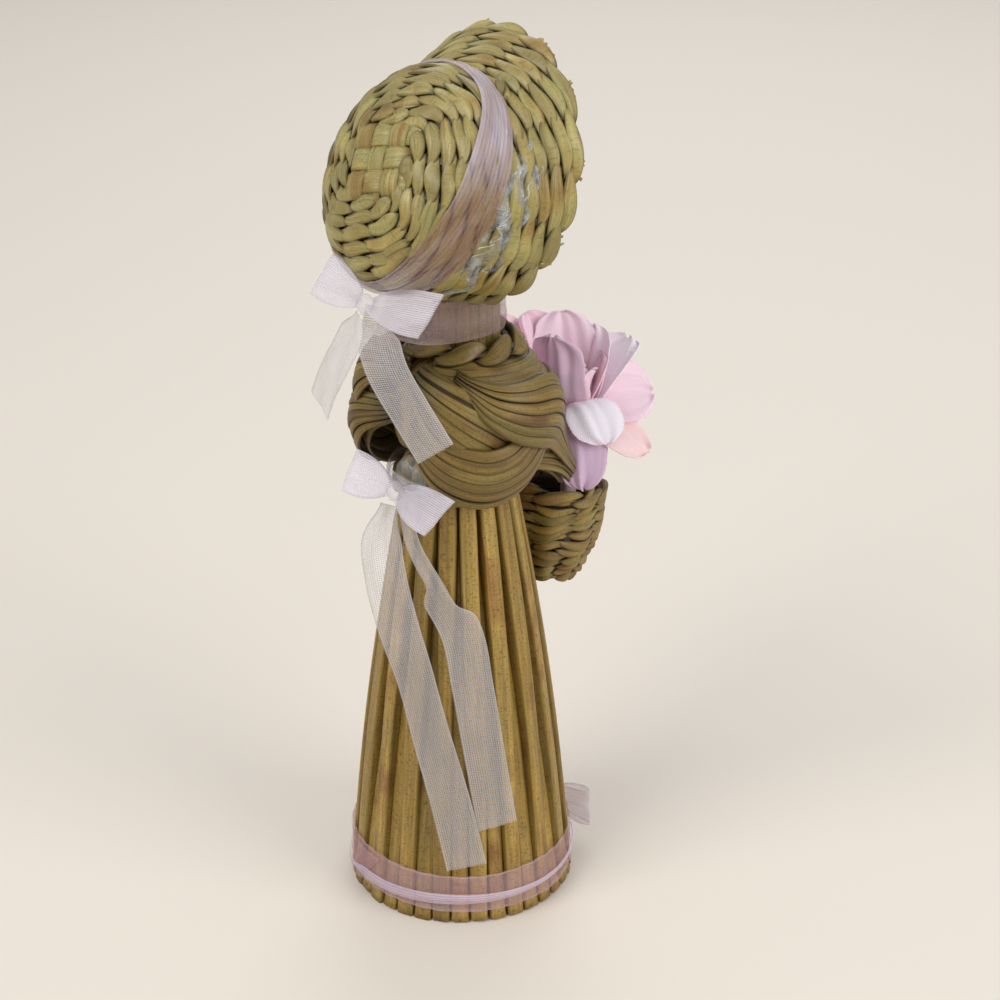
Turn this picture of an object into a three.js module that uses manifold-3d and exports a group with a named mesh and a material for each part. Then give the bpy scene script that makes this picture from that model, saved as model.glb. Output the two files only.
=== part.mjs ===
// A small doll of woven rush: stems folded double and splayed as a skirt, a rolled core for the body,
// braided arms, a twined bonnet, a basket with a cloth flower, and sheer ribbon tied in bows.
// Millimetres, +Z up. The doll faces -Y, its right hand is at -X.
import * as THREE from 'three';
import { mergeVertices } from 'three/addons/utils/BufferGeometryUtils.js';
import Module from 'manifold-3d';

// Fits
const CLEARANCE = 0.3; // left between pieces that touch

// Skirt: a ring of stems, each folded double above the waist tie
const STEM_PAIRS = 18;
const HEM_RADIUS = 18.2; // ring of stem centres at the floor
const WAIST_RADIUS = 8.4; // ring of the outer stem centres at the waist
const WAIST_HEIGHT = 74;
const SKIRT_BULGE = 0.45; // how far the skirt swells past a straight cone
const STEM_THICKNESS = 2.6; // through the stem, outwards
const STEM_SPACING = 0.35; // between neighbouring stems
const STEM_HEAD = 4; // straight length above the waist tie before the fold

// Body: a rolled core from inside the skirt to the neck
const CORE_DEPTH = 16; // below the waist tie
const TORSO_RADIUS = 10.6;
const TORSO_HEIGHT = 23.5; // waist tie to shoulders
const NECK_RADIUS = 5.6;
const NECK_LENGTH = 12.5;
const NECK_LEAN = 2; // forward of the skirt's axis
const BINDING_THICKNESS = 1;
const COLLAR_THICKNESS = 1.6;
const COLLAR_HEIGHT = 3;
const YOKE_THICKNESS = 1.2;
const YOKE_REACH = 6.2; // outwards from the collar
const YOKE_SLOPE = 3.4; // down over that reach

// Head and bonnet
const HEAD_WIDTH = 25;
const HEAD_DEPTH = 16;
const HEAD_HEIGHT = 25.5;
const BONNET_WALL = 2.2;
const CROWN_RADIUS = 18.6;
const CROWN_DEPTH = 9.8;
const CROWN_SQUARENESS = 0.75; // below one, a fuller dome than a half ellipse
const CROWN_TILT = 30; // degrees, the crown's pole above level
const CROWN_SET_BACK = 7.1; // behind the skirt's axis
const CROWN_RISE = 17.3; // above the neck's top
const RIM_RADIUS = 22.45;
const RIM_TILT = 14.5;
const RIM_FORWARD = 5.8;

// Braided arms: three flat strands each
const STRAND_WIDTH = 7.3;
const STRAND_THICKNESS = 2.5;
const BRAID_TURNS = 0.95;

// Basket, its handle and the flower in it
const BASKET_RADIUS = 8.2;
const BASKET_HEIGHT = 15.5;
const BASKET_WALL = 1.5;
const BASKET_TILT = 10;
const BASKET_DROP = 22; // its bottom, below the waist tie
const HAND_REACH = 1.6; // the hands' front past the middle of the basket's foot
const HANDLE_DIAMETER = 2;
const HANDLE_RISE = 9;
const FLOWER_STALK_RADIUS = 1.3;
const FLOWER_BUD_RADIUS = 3.2;
const FLOWER_RISE = 12; // bud centre above the basket's rim
const FLOWER_STALK_SINK = 7; // the stalk's end below that rim
const PETAL_LENGTH = 13;
const PETAL_WIDTH = 13;
const PETAL_THICKNESS = 0.5;

// Ribbon
const RIBBON_WIDTH = 6.35;
const RIBBON_THICKNESS = 0.5;
const HAT_RIBBON_WIDTH = 4.6; // gathered
const NECK_RIBBON_WIDTH = 5.5; // gathered
const HEM_RIBBON_HEIGHT = 2.6; // its lower edge above the floor
const KNOT_WIDTH = 5.2;
const KNOT_HEIGHT = 4.4;
const KNOT_DEPTH = 3.2;
const BOW_LOOP_LENGTH = 10;
const BOW_LOOP_FULLNESS = 4.2;
const WAIST_TAIL_END = 11.5; // the longer tail's cut end above the floor
const WAIST_TAIL_2_END = 18.5;
const NECK_TAIL_DROP = 19;

const wasm = await Module();
wasm.setup();

const doll = new THREE.Group();
const UP = new THREE.Vector3(0, 0, 1);
const V = (x, y, z) => new THREE.Vector3(x, y, z);
const radians = THREE.MathUtils.degToRad;

const colours = {
  rush: [0x8f7432, 0.62],
  rushPale: [0xa89550, 0.6],
  rushDark: [0x745c28, 0.66],
  ribbon: [0xe6d3da, 0.5],
  petal: [0xeac4cd, 0.75],
};

function piece(name, geometry, colour) {
  const [color, roughness] = colours[colour];
  const material = new THREE.MeshStandardMaterial({ color, roughness, metalness: 0 });
  const mesh = new THREE.Mesh(geometry, material);
  mesh.name = name;
  doll.add(mesh);
  return mesh;
}

// Turns a body's faces outwards, whichever way its rings were laid
function faceOutwards(points, triangles) {
  let volume = 0;
  const cross = V(0, 0, 0);
  for (const [a, b, c] of triangles) {
    volume += points[a].dot(cross.crossVectors(points[b], points[c]));
  }
  return volume < 0 ? triangles.map(([a, b, c]) => [a, c, b]) : triangles;
}

function bodyGeometry(points, triangles) {
  const geometry = new THREE.BufferGeometry().setFromPoints(points);
  geometry.setIndex(faceOutwards(points, triangles).flat());
  geometry.computeVertexNormals();
  return geometry;
}

// A body through matching rings of points; open rows get flat ends, closed rows join up
function loft(rings, closed = false) {
  const size = rings[0].length;
  const triangles = [];
  const quad = (a, b, c, d) => triangles.push([a, b, c], [a, c, d]);
  const rows = closed ? rings.length : rings.length - 1;
  for (let i = 0; i < rows; i += 1) {
    const here = i * size;
    const next = ((i + 1) % rings.length) * size;
    for (let j = 0; j < size; j += 1) {
      const k = (j + 1) % size;
      quad(here + j, here + k, next + k, next + j);
    }
  }
  if (!closed) {
    const last = (rings.length - 1) * size;
    for (let j = 0; j < size / 2 - 1; j += 1) {
      quad(size - 1 - j, size - 2 - j, j + 1, j);
      quad(last + j, last + j + 1, last + size - 2 - j, last + size - 1 - j);
    }
  }
  return bodyGeometry(rings.flat(), triangles);
}

// Unit vectors at each point of a path: along it, across its width, and through its thickness
function frames(path, across) {
  return path.map((point, i) => {
    const along = path[Math.min(i + 1, path.length - 1)].clone().sub(path[Math.max(i - 1, 0)]).normalize();
    const width = across[i].clone().addScaledVector(along, -across[i].dot(along)).normalize();
    return { point, width, through: V(0, 0, 0).crossVectors(along, width) };
  });
}

// An oval tube: sizes gives [width, thickness] at each point
function tube(path, across, sizes, sides) {
  const rings = frames(path, across).map(({ point, width, through }, i) => {
    const [w, t] = sizes[i];
    return Array.from({ length: sides }, (_, j) => {
      const a = ((j + 0.5) * 2 * Math.PI) / sides;
      const sideways = point.clone().addScaledVector(width, (w / 2) * Math.cos(a));
      return sideways.addScaledVector(through, (t / 2) * Math.sin(a));
    });
  });
  return loft(rings);
}

// A flat strip of ribbon: widths gives its width at each point
function strip(path, across, widths, thickness = RIBBON_THICKNESS) {
  const rings = frames(path, across).map(({ point, width, through }, i) => {
    const corner = (a, b) => {
      const edge = point.clone().addScaledVector(width, (a * widths[i]) / 2);
      return edge.addScaledVector(through, (b * thickness) / 2);
    };
    return [corner(-1, -1), corner(1, -1), corner(1, 1), corner(-1, 1)];
  });
  return loft(rings);
}

// A curved sheet of even thickness from a grid of points, rows by columns
function sheet(grid, thickness) {
  const rings = grid.map((row, i) => {
    const normals = row.map((_, j) => {
      const alongRow = row[Math.min(j + 1, row.length - 1)].clone().sub(row[Math.max(j - 1, 0)]);
      const below = grid[Math.max(i - 1, 0)][j];
      const above = grid[Math.min(i + 1, grid.length - 1)][j];
      return alongRow.cross(above.clone().sub(below)).normalize();
    });
    const front = row.map((p, j) => p.clone().addScaledVector(normals[j], thickness / 2));
    const back = row.map((p, j) => p.clone().addScaledVector(normals[j], -thickness / 2));
    return [...front, ...back.reverse()];
  });
  return loft(rings);
}

function lathe(profile, segments) {
  const points = profile.map(([r, h]) => new THREE.Vector2(r, h));
  return new THREE.LatheGeometry(points, segments).rotateX(Math.PI / 2);
}

function smooth(points, count) {
  return new THREE.CatmullRomCurve3(points).getSpacedPoints(count);
}

// A point at an azimuth measured from straight behind, turning towards the doll's left
function around(azimuth, radius, height) {
  return V(radius * Math.sin(radians(azimuth)), radius * Math.cos(radians(azimuth)), height);
}

// Skirt
// Share of the way up runs from 0 at the floor to 1 at the waist; above it the stems stand straight.
function outerRing(share) {
  const u = Math.min(share, 1);
  return WAIST_RADIUS + (HEM_RADIUS - WAIST_RADIUS) * (1 - u) * (1 + SKIRT_BULGE * u);
}

const stemWidth = (Math.PI * HEM_RADIUS) / STEM_PAIRS - STEM_SPACING;
const widthOnRing = (radius) => Math.min(stemWidth, (2 * Math.PI * radius) / STEM_PAIRS - STEM_SPACING);

// Every second stem sinks behind its neighbours as the ring tightens
function innerRing(share) {
  const outer = outerRing(share);
  const halfPitch = (Math.PI * outer) / STEM_PAIRS;
  const reach = Math.max(stemWidth, STEM_THICKNESS) + STEM_SPACING;
  return outer - Math.sqrt(Math.max(0, reach * reach - halfPitch * halfPitch));
}

const skirtSurface = (height) => outerRing(height / WAIST_HEIGHT) + STEM_THICKNESS / 2;
const foldTop = WAIST_HEIGHT + STEM_HEAD;
const foldWidth = widthOnRing(innerRing(1));
const foldRise = Math.hypot(outerRing(1) - innerRing(1), (Math.PI * innerRing(1)) / STEM_PAIRS) / 2;

function skirtStem(index) {
  const LEG_STEPS = 7;
  const FOLD_STEPS = 4;
  const pitch = 360 / STEM_PAIRS;
  const outerAzimuth = index * pitch;
  const innerAzimuth = outerAzimuth + pitch / 2;
  const path = [];
  const sizes = [];
  const across = [];
  const add = (azimuth, radius, height, width) => {
    path.push(around(azimuth, radius, height));
    across.push(around(azimuth + 90, 1, 0));
    sizes.push([width, Math.min(STEM_THICKNESS, width * 1.1)]);
  };
  for (let i = 0; i < LEG_STEPS; i += 1) {
    const u = i / (LEG_STEPS - 1);
    add(outerAzimuth, outerRing(u), u * WAIST_HEIGHT, widthOnRing(outerRing(u)));
  }
  for (let i = 0; i <= FOLD_STEPS; i += 1) {
    const turn = (i / FOLD_STEPS) * Math.PI;
    const share = (1 - Math.cos(turn)) / 2;
    const radius = outerRing(1) + (innerRing(1) - outerRing(1)) * share;
    add(outerAzimuth + share * (pitch / 2), radius, foldTop + foldRise * Math.sin(turn), foldWidth);
  }
  for (let i = LEG_STEPS - 1; i >= 0; i -= 1) {
    const u = i / (LEG_STEPS - 1);
    add(innerAzimuth, innerRing(u), u * WAIST_HEIGHT, widthOnRing(innerRing(u)));
  }
  const geometry = tube(path, across, sizes, 6);
  // the cut ends lie flat on the floor
  const position = geometry.attributes.position;
  for (let i = 0; i < 6; i += 1) {
    position.setZ(i, 0);
    position.setZ(position.count - 1 - i, 0);
  }
  geometry.computeVertexNormals();
  return geometry;
}

for (let i = 0; i < STEM_PAIRS; i += 1) {
  piece(`skirt_stem_${String(i + 1).padStart(2, '0')}`, skirtStem(i), 'rush');
}

// Body core
const shoulderHeight = WAIST_HEIGHT + TORSO_HEIGHT;
const neckTop = shoulderHeight + NECK_LENGTH;
const coreRadius = innerRing(1) - (foldWidth * 1.1) / 2 - CLEARANCE;
const torsoBase = foldTop + foldRise + foldWidth + CLEARANCE;

function bodyCore() {
  const stations = [
    [WAIST_HEIGHT - CORE_DEPTH, coreRadius, 0],
    [torsoBase - CLEARANCE, coreRadius, 0],
    [torsoBase + 0.4, TORSO_RADIUS - 1, 0],
    [torsoBase + 3, TORSO_RADIUS, 0],
    [shoulderHeight - 4, TORSO_RADIUS, 0.3],
    [shoulderHeight - 1.2, (TORSO_RADIUS + NECK_RADIUS) / 2, 0.7],
    [shoulderHeight, NECK_RADIUS, 1],
    [neckTop, NECK_RADIUS, 1],
  ];
  const SIDES = 20;
  const rings = stations.map(([height, radius, lean]) =>
    Array.from({ length: SIDES }, (_, j) =>
      around((j * 360) / SIDES, radius, height).add(V(0, -NECK_LEAN * lean, 0)),
    ),
  );
  return loft(rings);
}
piece('body_core', bodyCore(), 'rushDark');

const bindingInner = WAIST_RADIUS + STEM_THICKNESS / 2 + CLEARANCE;
const bindingOuter = bindingInner + BINDING_THICKNESS;
function ringBand(inner, outer, low, high, segments) {
  return lathe([[inner, low], [outer, low], [outer, high], [inner, high], [inner, low]], segments);
}
piece('waist_binding', ringBand(bindingInner, bindingOuter, WAIST_HEIGHT, foldTop, 32), 'rushDark');

const collarInner = NECK_RADIUS + CLEARANCE;
const collarOuter = collarInner + COLLAR_THICKNESS;
const collarTop = shoulderHeight + CLEARANCE + COLLAR_HEIGHT;
const collar = ringBand(collarInner, collarOuter, collarTop - COLLAR_HEIGHT, collarTop, 28);
piece('collar_wrap', collar, 'rush').position.y = -NECK_LEAN;

// Shoulder yokes: strips laid side by side from the collar out over the arms
const armTop = shoulderHeight - 0.4;
function shoulderYoke(side) {
  const ROWS = 5;
  const COLUMNS = 9;
  const FAN = 62; // degrees each way from the shoulder
  const grid = [];
  for (let i = 0; i < ROWS; i += 1) {
    const u = i / (ROWS - 1);
    const row = [];
    for (let j = 0; j < COLUMNS; j += 1) {
      const azimuth = side * 90 + ((j / (COLUMNS - 1)) * 2 - 1) * FAN;
      const radius = collarOuter + CLEARANCE + u * YOKE_REACH;
      const height = collarTop - YOKE_THICKNESS / 2 - YOKE_SLOPE * u ** 1.5;
      row.push(around(azimuth, radius, height).add(V(0, -NECK_LEAN, 0)));
    }
    grid.push(row);
  }
  return sheet(grid, YOKE_THICKNESS);
}

// Arms
// Stations from the back of the shoulder to the hand: azimuth, out from the seat, below the arm's top
const braidHalfWidth = 0.91 * STRAND_WIDTH; // the strands swing this far each way to pass side by side
const braidHalfDepth = 1.18 * STRAND_THICKNESS; // and this far in and out to pass over each other
const braidRise = braidHalfWidth + STRAND_WIDTH / 2;
const braidDepth = braidHalfDepth + STRAND_THICKNESS / 2;
const waistRibbonOuter = bindingOuter + CLEARANCE + RIBBON_THICKNESS;
const armSeat = Math.max(TORSO_RADIUS, waistRibbonOuter) + CLEARANCE + braidDepth;
const ARM_STATIONS = [
  [22, 0, 0],
  [52, 0, 0],
  [86, 0, 0.4],
  [116, 0, 2.4],
  [143, 0.4, 9],
  [163.5, 2.5, 15],
];
const HAND_TAPER = 0.52; // the braid's size at the hand

function armStrand(side, index) {
  const STEPS = 22;
  const stations = ARM_STATIONS.map(([azimuth, out, below]) =>
    around(side * azimuth, armSeat + out, armTop - braidRise - below),
  );
  const spine = smooth(stations, STEPS);
  const taper = (s) => 1 - (1 - HAND_TAPER) * THREE.MathUtils.smoothstep(s, 0.55, 1);
  const shoulderTaper = (s) => 0.72 + 0.28 * THREE.MathUtils.smoothstep(s, 0, 0.25);
  const outwards = spine.map((p, i) => {
    const along = spine[Math.min(i + 1, STEPS)].clone().sub(spine[Math.max(i - 1, 0)]).normalize();
    const out = V(p.x, p.y + NECK_LEAN, 0).normalize();
    return out.addScaledVector(along, -out.dot(along)).normalize();
  });
  const path = spine.map((p, i) => {
    const s = i / STEPS;
    const along = spine[Math.min(i + 1, STEPS)].clone().sub(spine[Math.max(i - 1, 0)]).normalize();
    const lateral = V(0, 0, 0).crossVectors(along, outwards[i]).multiplyScalar(side);
    const phase = 2 * Math.PI * (BRAID_TURNS * s + index / 3);
    const size = taper(s) * shoulderTaper(s);
    const shift = size * braidHalfWidth * Math.sin(phase);
    const lift = size * braidHalfDepth * Math.sin(2 * phase);
    return p.clone().addScaledVector(lateral, shift).addScaledVector(outwards[i], lift);
  });
  const across = path.map((p, i) => {
    const along = path[Math.min(i + 1, STEPS)].clone().sub(path[Math.max(i - 1, 0)]);
    return along.cross(outwards[i]).normalize();
  });
  const sizes = path.map((_, i) => {
    const size = taper(i / STEPS) * shoulderTaper(i / STEPS);
    return [STRAND_WIDTH * size, STRAND_THICKNESS * size];
  });
  return tube(path, across, sizes, 8);
}

for (const [label, side] of [['right', -1], ['left', 1]]) {
  piece(`yoke_${label}`, shoulderYoke(side), 'rush');
  for (let i = 0; i < 3; i += 1) {
    piece(`arm_${label}_strand_${i + 1}`, armStrand(side, i), 'rush');
  }
}

// Head
const headCentre = V(0, HEAD_DEPTH / 2 - RIM_FORWARD, neckTop + CLEARANCE + HEAD_HEIGHT / 2);
const head = piece('head', new THREE.SphereGeometry(1, 20, 14).rotateX(Math.PI / 2), 'rushPale');
head.scale.set(HEAD_WIDTH / 2, HEAD_DEPTH / 2, HEAD_HEIGHT / 2);
head.position.copy(headCentre);

// Bonnet
const crownCentre = V(0, CROWN_SET_BACK, neckTop + CROWN_RISE);
const rimCentre = V(0, -RIM_FORWARD, crownCentre.z);

// A ring of the bonnet: its centre, radius and the tilt of its axis above level
function bonnetRing(centre, radius, tilt, angle) {
  const t = radians(tilt);
  const rise = V(0, -Math.sin(t), Math.cos(t));
  const sideways = V(radius * Math.sin(angle), 0, 0);
  return sideways.addScaledVector(rise, radius * Math.cos(angle)).add(centre);
}

function domePoint(radius, depth, latitude) {
  return [radius * Math.cos(latitude) ** CROWN_SQUARENESS, depth * Math.sin(latitude)];
}

function crownProfile() {
  const STEPS = 7;
  const outer = [];
  const inner = [];
  for (let i = 0; i < STEPS; i += 1) {
    const latitude = (i / STEPS) * (Math.PI / 2);
    outer.push(domePoint(CROWN_RADIUS, CROWN_DEPTH, latitude));
    inner.push(domePoint(CROWN_RADIUS - BONNET_WALL, CROWN_DEPTH - BONNET_WALL, latitude));
  }
  return [[0, CROWN_DEPTH - BONNET_WALL], ...inner.reverse(), ...outer, [0, CROWN_DEPTH]];
}

// The crown's own +Z runs out through its pole, up and to the back
function setOnCrown(mesh) {
  mesh.position.copy(crownCentre);
  mesh.rotation.x = radians(CROWN_TILT - 90);
}
setOnCrown(piece('bonnet_crown', lathe(crownProfile(), 32), 'rushPale'));

const neckRibbonOuter = NECK_RADIUS + 2 * CLEARANCE + RIBBON_THICKNESS;
const neckNotch = neckRibbonOuter + CLEARANCE;

function bonnetBrim() {
  const AROUND = 40;
  const ACROSS = 4;
  const t = radians(CROWN_TILT);
  const gap = V(0, -Math.cos(t), -Math.sin(t)).multiplyScalar(CLEARANCE);
  const rings = [];
  for (let i = 0; i < AROUND; i += 1) {
    const angle = (i / AROUND) * 2 * Math.PI;
    const skin = (inset) => {
      const joint = bonnetRing(crownCentre, CROWN_RADIUS - inset, CROWN_TILT, angle).add(gap);
      const rim = bonnetRing(rimCentre, RIM_RADIUS - inset, RIM_TILT, angle);
      return Array.from({ length: ACROSS + 1 }, (_, j) => joint.clone().lerp(rim, j / ACROSS));
    };
    rings.push([...skin(0), ...skin(BONNET_WALL).reverse()]);
  }
  return loft(rings, true);
}

function asSolid(geometry) {
  const bare = new THREE.BufferGeometry();
  bare.setAttribute('position', geometry.attributes.position);
  bare.setIndex(geometry.index);
  const merged = mergeVertices(bare);
  const vertProperties = new Float32Array(merged.attributes.position.array);
  const triVerts = new Uint32Array(merged.index.array);
  return new wasm.Manifold(new wasm.Mesh({ numProp: 3, vertProperties, triVerts }));
}

function fromSolid(solid) {
  const { vertProperties, triVerts, numProp } = solid.getMesh();
  const geometry = new THREE.BufferGeometry();
  const positions = [];
  for (let i = 0; i < vertProperties.length; i += numProp) {
    positions.push(vertProperties[i], vertProperties[i + 1], vertProperties[i + 2]);
  }
  geometry.setAttribute('position', new THREE.Float32BufferAttribute(positions, 3));
  geometry.setIndex(Array.from(triVerts));
  geometry.computeVertexNormals();
  return geometry;
}

const nape = bonnetRing(crownCentre, CROWN_RADIUS, CROWN_TILT, Math.PI);
const napeKnot = V(0, nape.y + KNOT_DEPTH, nape.z - KNOT_HEIGHT / 2 + CLEARANCE);

// The ribbon from the nape round the front of the neck, with room left about it where asked
function neckRibbon(room) {
  const reach = NECK_RADIUS + CLEARANCE + RIBBON_THICKNESS / 2;
  const front = V(0, -NECK_LEAN, collarTop + CLEARANCE + RIBBON_WIDTH / 2);
  const half = [
    V(KNOT_WIDTH / 2 + 2 * CLEARANCE, napeKnot.y - 2.4, napeKnot.z - 1.9),
    V(reach * 0.86, (napeKnot.y + front.y) / 2 + 1, (napeKnot.z + front.z) / 2 - 3.1),
    around(96, reach, front.z).add(V(0, front.y, 0)),
    around(138, reach, front.z).add(V(0, front.y, 0)),
  ];
  const mirrored = half.map((p) => V(-p.x, p.y, p.z)).reverse();
  const path = smooth([...half, around(180, reach, front.z).add(V(0, front.y, 0)), ...mirrored], 30);
  const widths = path.map(() => NECK_RIBBON_WIDTH + 2 * room);
  return strip(path, path.map(() => UP), widths, RIBBON_THICKNESS + 2 * room);
}

// The brim is cut away under the chin for the neck and its ribbon
const notchHeight = HEAD_HEIGHT;
const notch = new THREE.CylinderGeometry(neckNotch, neckNotch, notchHeight, 32).rotateX(Math.PI / 2);
notch.translate(0, -NECK_LEAN, neckTop);
const ribbonChannel = asSolid(neckRibbon(CLEARANCE));
const brim = asSolid(bonnetBrim()).subtract(asSolid(notch)).subtract(ribbonChannel);
piece('bonnet_brim', fromSolid(brim), 'rushPale');

function hatRibbon() {
  const STEPS = 3;
  const start = radians(4);
  const span = HAT_RIBBON_WIDTH / CROWN_RADIUS + radians(12);
  const inner = [];
  const outer = [];
  for (let i = 0; i <= STEPS; i += 1) {
    const latitude = start + (i / STEPS) * span;
    const lift = CLEARANCE + RIBBON_THICKNESS;
    inner.push(domePoint(CROWN_RADIUS + CLEARANCE, CROWN_DEPTH + CLEARANCE, latitude));
    outer.push(domePoint(CROWN_RADIUS + lift, CROWN_DEPTH + lift, latitude));
  }
  return lathe([...outer, ...inner.reverse(), outer[0]], 36);
}
setOnCrown(piece('bonnet_ribbon', hatRibbon(), 'ribbon'));

// Basket
function basketProfile() {
  const STEPS = 5;
  const bulge = (h) => 0.55 + 0.47 * Math.sin((0.12 + 0.72 * h) * Math.PI * 0.78);
  const outer = [];
  const inner = [];
  for (let i = 0; i <= STEPS; i += 1) {
    const h = i / STEPS;
    outer.push([BASKET_RADIUS * bulge(h), BASKET_HEIGHT * h]);
    const floor = BASKET_WALL + (BASKET_HEIGHT - BASKET_WALL) * h;
    inner.push([BASKET_RADIUS * bulge(floor / BASKET_HEIGHT) - BASKET_WALL, floor]);
  }
  return [[0, 0], ...outer, ...inner.reverse(), [0, BASKET_WALL]];
}

// The basket leans on the skirt, no further back than the hands in front of it allow
const basketHeight = WAIST_HEIGHT - BASKET_DROP;
const skirtSeat = Math.max(
  ...basketProfile().map(([radius, height]) => {
    const t = radians(BASKET_TILT);
    const back = radius * Math.cos(t) - height * Math.sin(t);
    return skirtSurface(basketHeight + height * Math.cos(t) + radius * Math.sin(t)) + CLEARANCE + back;
  }),
);
const handFront = armSeat + ARM_STATIONS.at(-1)[1] + HAND_TAPER * braidDepth;
const basketCentre = V(0, -Math.max(skirtSeat, handFront - HAND_REACH), basketHeight);

function placeInBasket(mesh) {
  mesh.position.copy(basketCentre);
  mesh.rotation.x = radians(BASKET_TILT);
}
placeInBasket(piece('basket', lathe(basketProfile(), 28), 'rushDark'));

function basketHandle() {
  const STEPS = 14;
  const foot = BASKET_HEIGHT + CLEARANCE;
  const span = BASKET_RADIUS - BASKET_WALL / 2;
  const path = Array.from({ length: STEPS + 1 }, (_, i) => {
    const a = (i / STEPS) * Math.PI;
    return V(-span * Math.cos(a), 0, foot + HANDLE_RISE * Math.sin(a));
  });
  const across = path.map(() => V(0, 1, 0));
  return tube(path, across, path.map(() => [HANDLE_DIAMETER, HANDLE_DIAMETER * 0.7]), 8);
}
placeInBasket(piece('basket_handle', basketHandle(), 'rush'));

// Flower: a bud on a stalk that stands in the front of the basket, with petals about it
const rimHeight = basketHeight + BASKET_HEIGHT;
const budCentre = V(0, basketCentre.y - BASKET_RADIUS + BASKET_WALL - CLEARANCE, rimHeight + FLOWER_RISE);
const stalkLength = FLOWER_RISE + FLOWER_STALK_SINK;
const budProfile = [
  [0, -stalkLength],
  [FLOWER_STALK_RADIUS, -stalkLength],
  [FLOWER_STALK_RADIUS, -FLOWER_BUD_RADIUS],
  [FLOWER_BUD_RADIUS * 0.85, -FLOWER_BUD_RADIUS * 0.55],
  [FLOWER_BUD_RADIUS, 0],
  [FLOWER_BUD_RADIUS * 0.8, FLOWER_BUD_RADIUS * 0.6],
  [0, FLOWER_BUD_RADIUS],
];
piece('flower_bud', lathe(budProfile, 14), 'petal').position.copy(budCentre);

// Each petal: compass azimuth about the bud from straight ahead, opening from upright, and its
// shares of the full length and width
const PETALS = [
  [234, 58, 0.9, 0.95],
  [164, 32, 0.95, 0.8],
  [105, 66, 0.9, 0.95],
  [57, 25, 0.95, 0.68],
  [335, 47, 0.8, 0.8],
  [313, 80, 0.72, 1],
  [265, 98, 0.8, 0.9],
  [306, 138, 0.8, 0.8],
];

function petal([azimuth, opening, share, breadth]) {
  const ROWS = 6;
  const COLUMNS = 7;
  const CUP = 0.22;
  const a = radians(azimuth);
  const o = radians(opening);
  const ahead = V(Math.sin(a), -Math.cos(a), 0);
  const side = V(Math.cos(a), Math.sin(a), 0);
  const along = ahead.clone().multiplyScalar(Math.sin(o)).addScaledVector(UP, Math.cos(o));
  const inwards = V(0, 0, 0).crossVectors(side, along);
  const grid = [];
  for (let i = 0; i < ROWS; i += 1) {
    const u = i / (ROWS - 1);
    const reach = FLOWER_BUD_RADIUS + CLEARANCE + u * PETAL_LENGTH * share;
    const round = 0.1 + 0.86 * u;
    const half = PETAL_WIDTH * breadth * Math.sqrt(round * (1 - round));
    const row = [];
    for (let j = 0; j < COLUMNS; j += 1) {
      const v = (j / (COLUMNS - 1)) * 2 - 1;
      const lift = CUP * half * v * v - 0.12 * PETAL_LENGTH * u * u;
      const spine = budCentre.clone().addScaledVector(along, reach);
      row.push(spine.addScaledVector(side, half * v).addScaledVector(inwards, lift));
    }
    grid.push(row);
  }
  return sheet(grid, PETAL_THICKNESS);
}
PETALS.forEach((shape, i) => piece(`flower_petal_${i + 1}`, petal(shape), 'petal'));

// Ribbon bands and bows
function knot(name, centre) {
  const mesh = piece(name, new THREE.SphereGeometry(1, 12, 8).rotateX(Math.PI / 2), 'ribbon');
  mesh.scale.set(KNOT_WIDTH / 2, KNOT_DEPTH / 2, KNOT_HEIGHT / 2);
  mesh.position.copy(centre);
}

// A bow loop leaves the knot sideways, swells and comes back; out points from the knot to its tip,
// away points off the doll, and share is its part of the full length
function bowLoop(name, centre, out, away, share) {
  const STEPS = 14;
  const start = KNOT_WIDTH / 2 + CLEARANCE;
  const axis = out.clone().normalize();
  const swell = away.clone().addScaledVector(axis, -away.dot(axis)).normalize();
  const across = V(0, 0, 0).crossVectors(axis, swell);
  const path = Array.from({ length: STEPS + 1 }, (_, i) => {
    const a = (i / STEPS) * 2 * Math.PI;
    const reach = start + (share * BOW_LOOP_LENGTH * (1 - Math.cos(a))) / 2;
    const spread = 0.5 + (BOW_LOOP_FULLNESS / 2) * Math.sin(a / 2) ** 1.5;
    const sign = a < Math.PI ? 1 : -1;
    const ease = Math.min(1, Math.abs(Math.sin(a)) + 0.25 * Math.abs(Math.cos(a / 2)));
    return centre.clone().addScaledVector(axis, reach).addScaledVector(swell, sign * spread * ease);
  });
  const widths = path.map((_, i) => RIBBON_WIDTH * (0.5 + 0.5 * Math.sin((i / STEPS) * Math.PI) ** 0.6));
  piece(name, strip(path, path.map(() => across), widths), 'ribbon');
}

// A tail widens from the knot to the ribbon's full width
function tail(path, facing) {
  const across = path.map((p, i) => {
    const along = path[Math.min(i + 1, path.length - 1)].clone().sub(path[Math.max(i - 1, 0)]);
    return along.cross(facing(p)).normalize();
  });
  const widths = path.map((p) => {
    const away = p.distanceTo(path[0]);
    return RIBBON_WIDTH * (0.42 + 0.58 * THREE.MathUtils.smoothstep(away, 0, RIBBON_WIDTH * 1.4));
  });
  return strip(path, across, widths);
}

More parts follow.
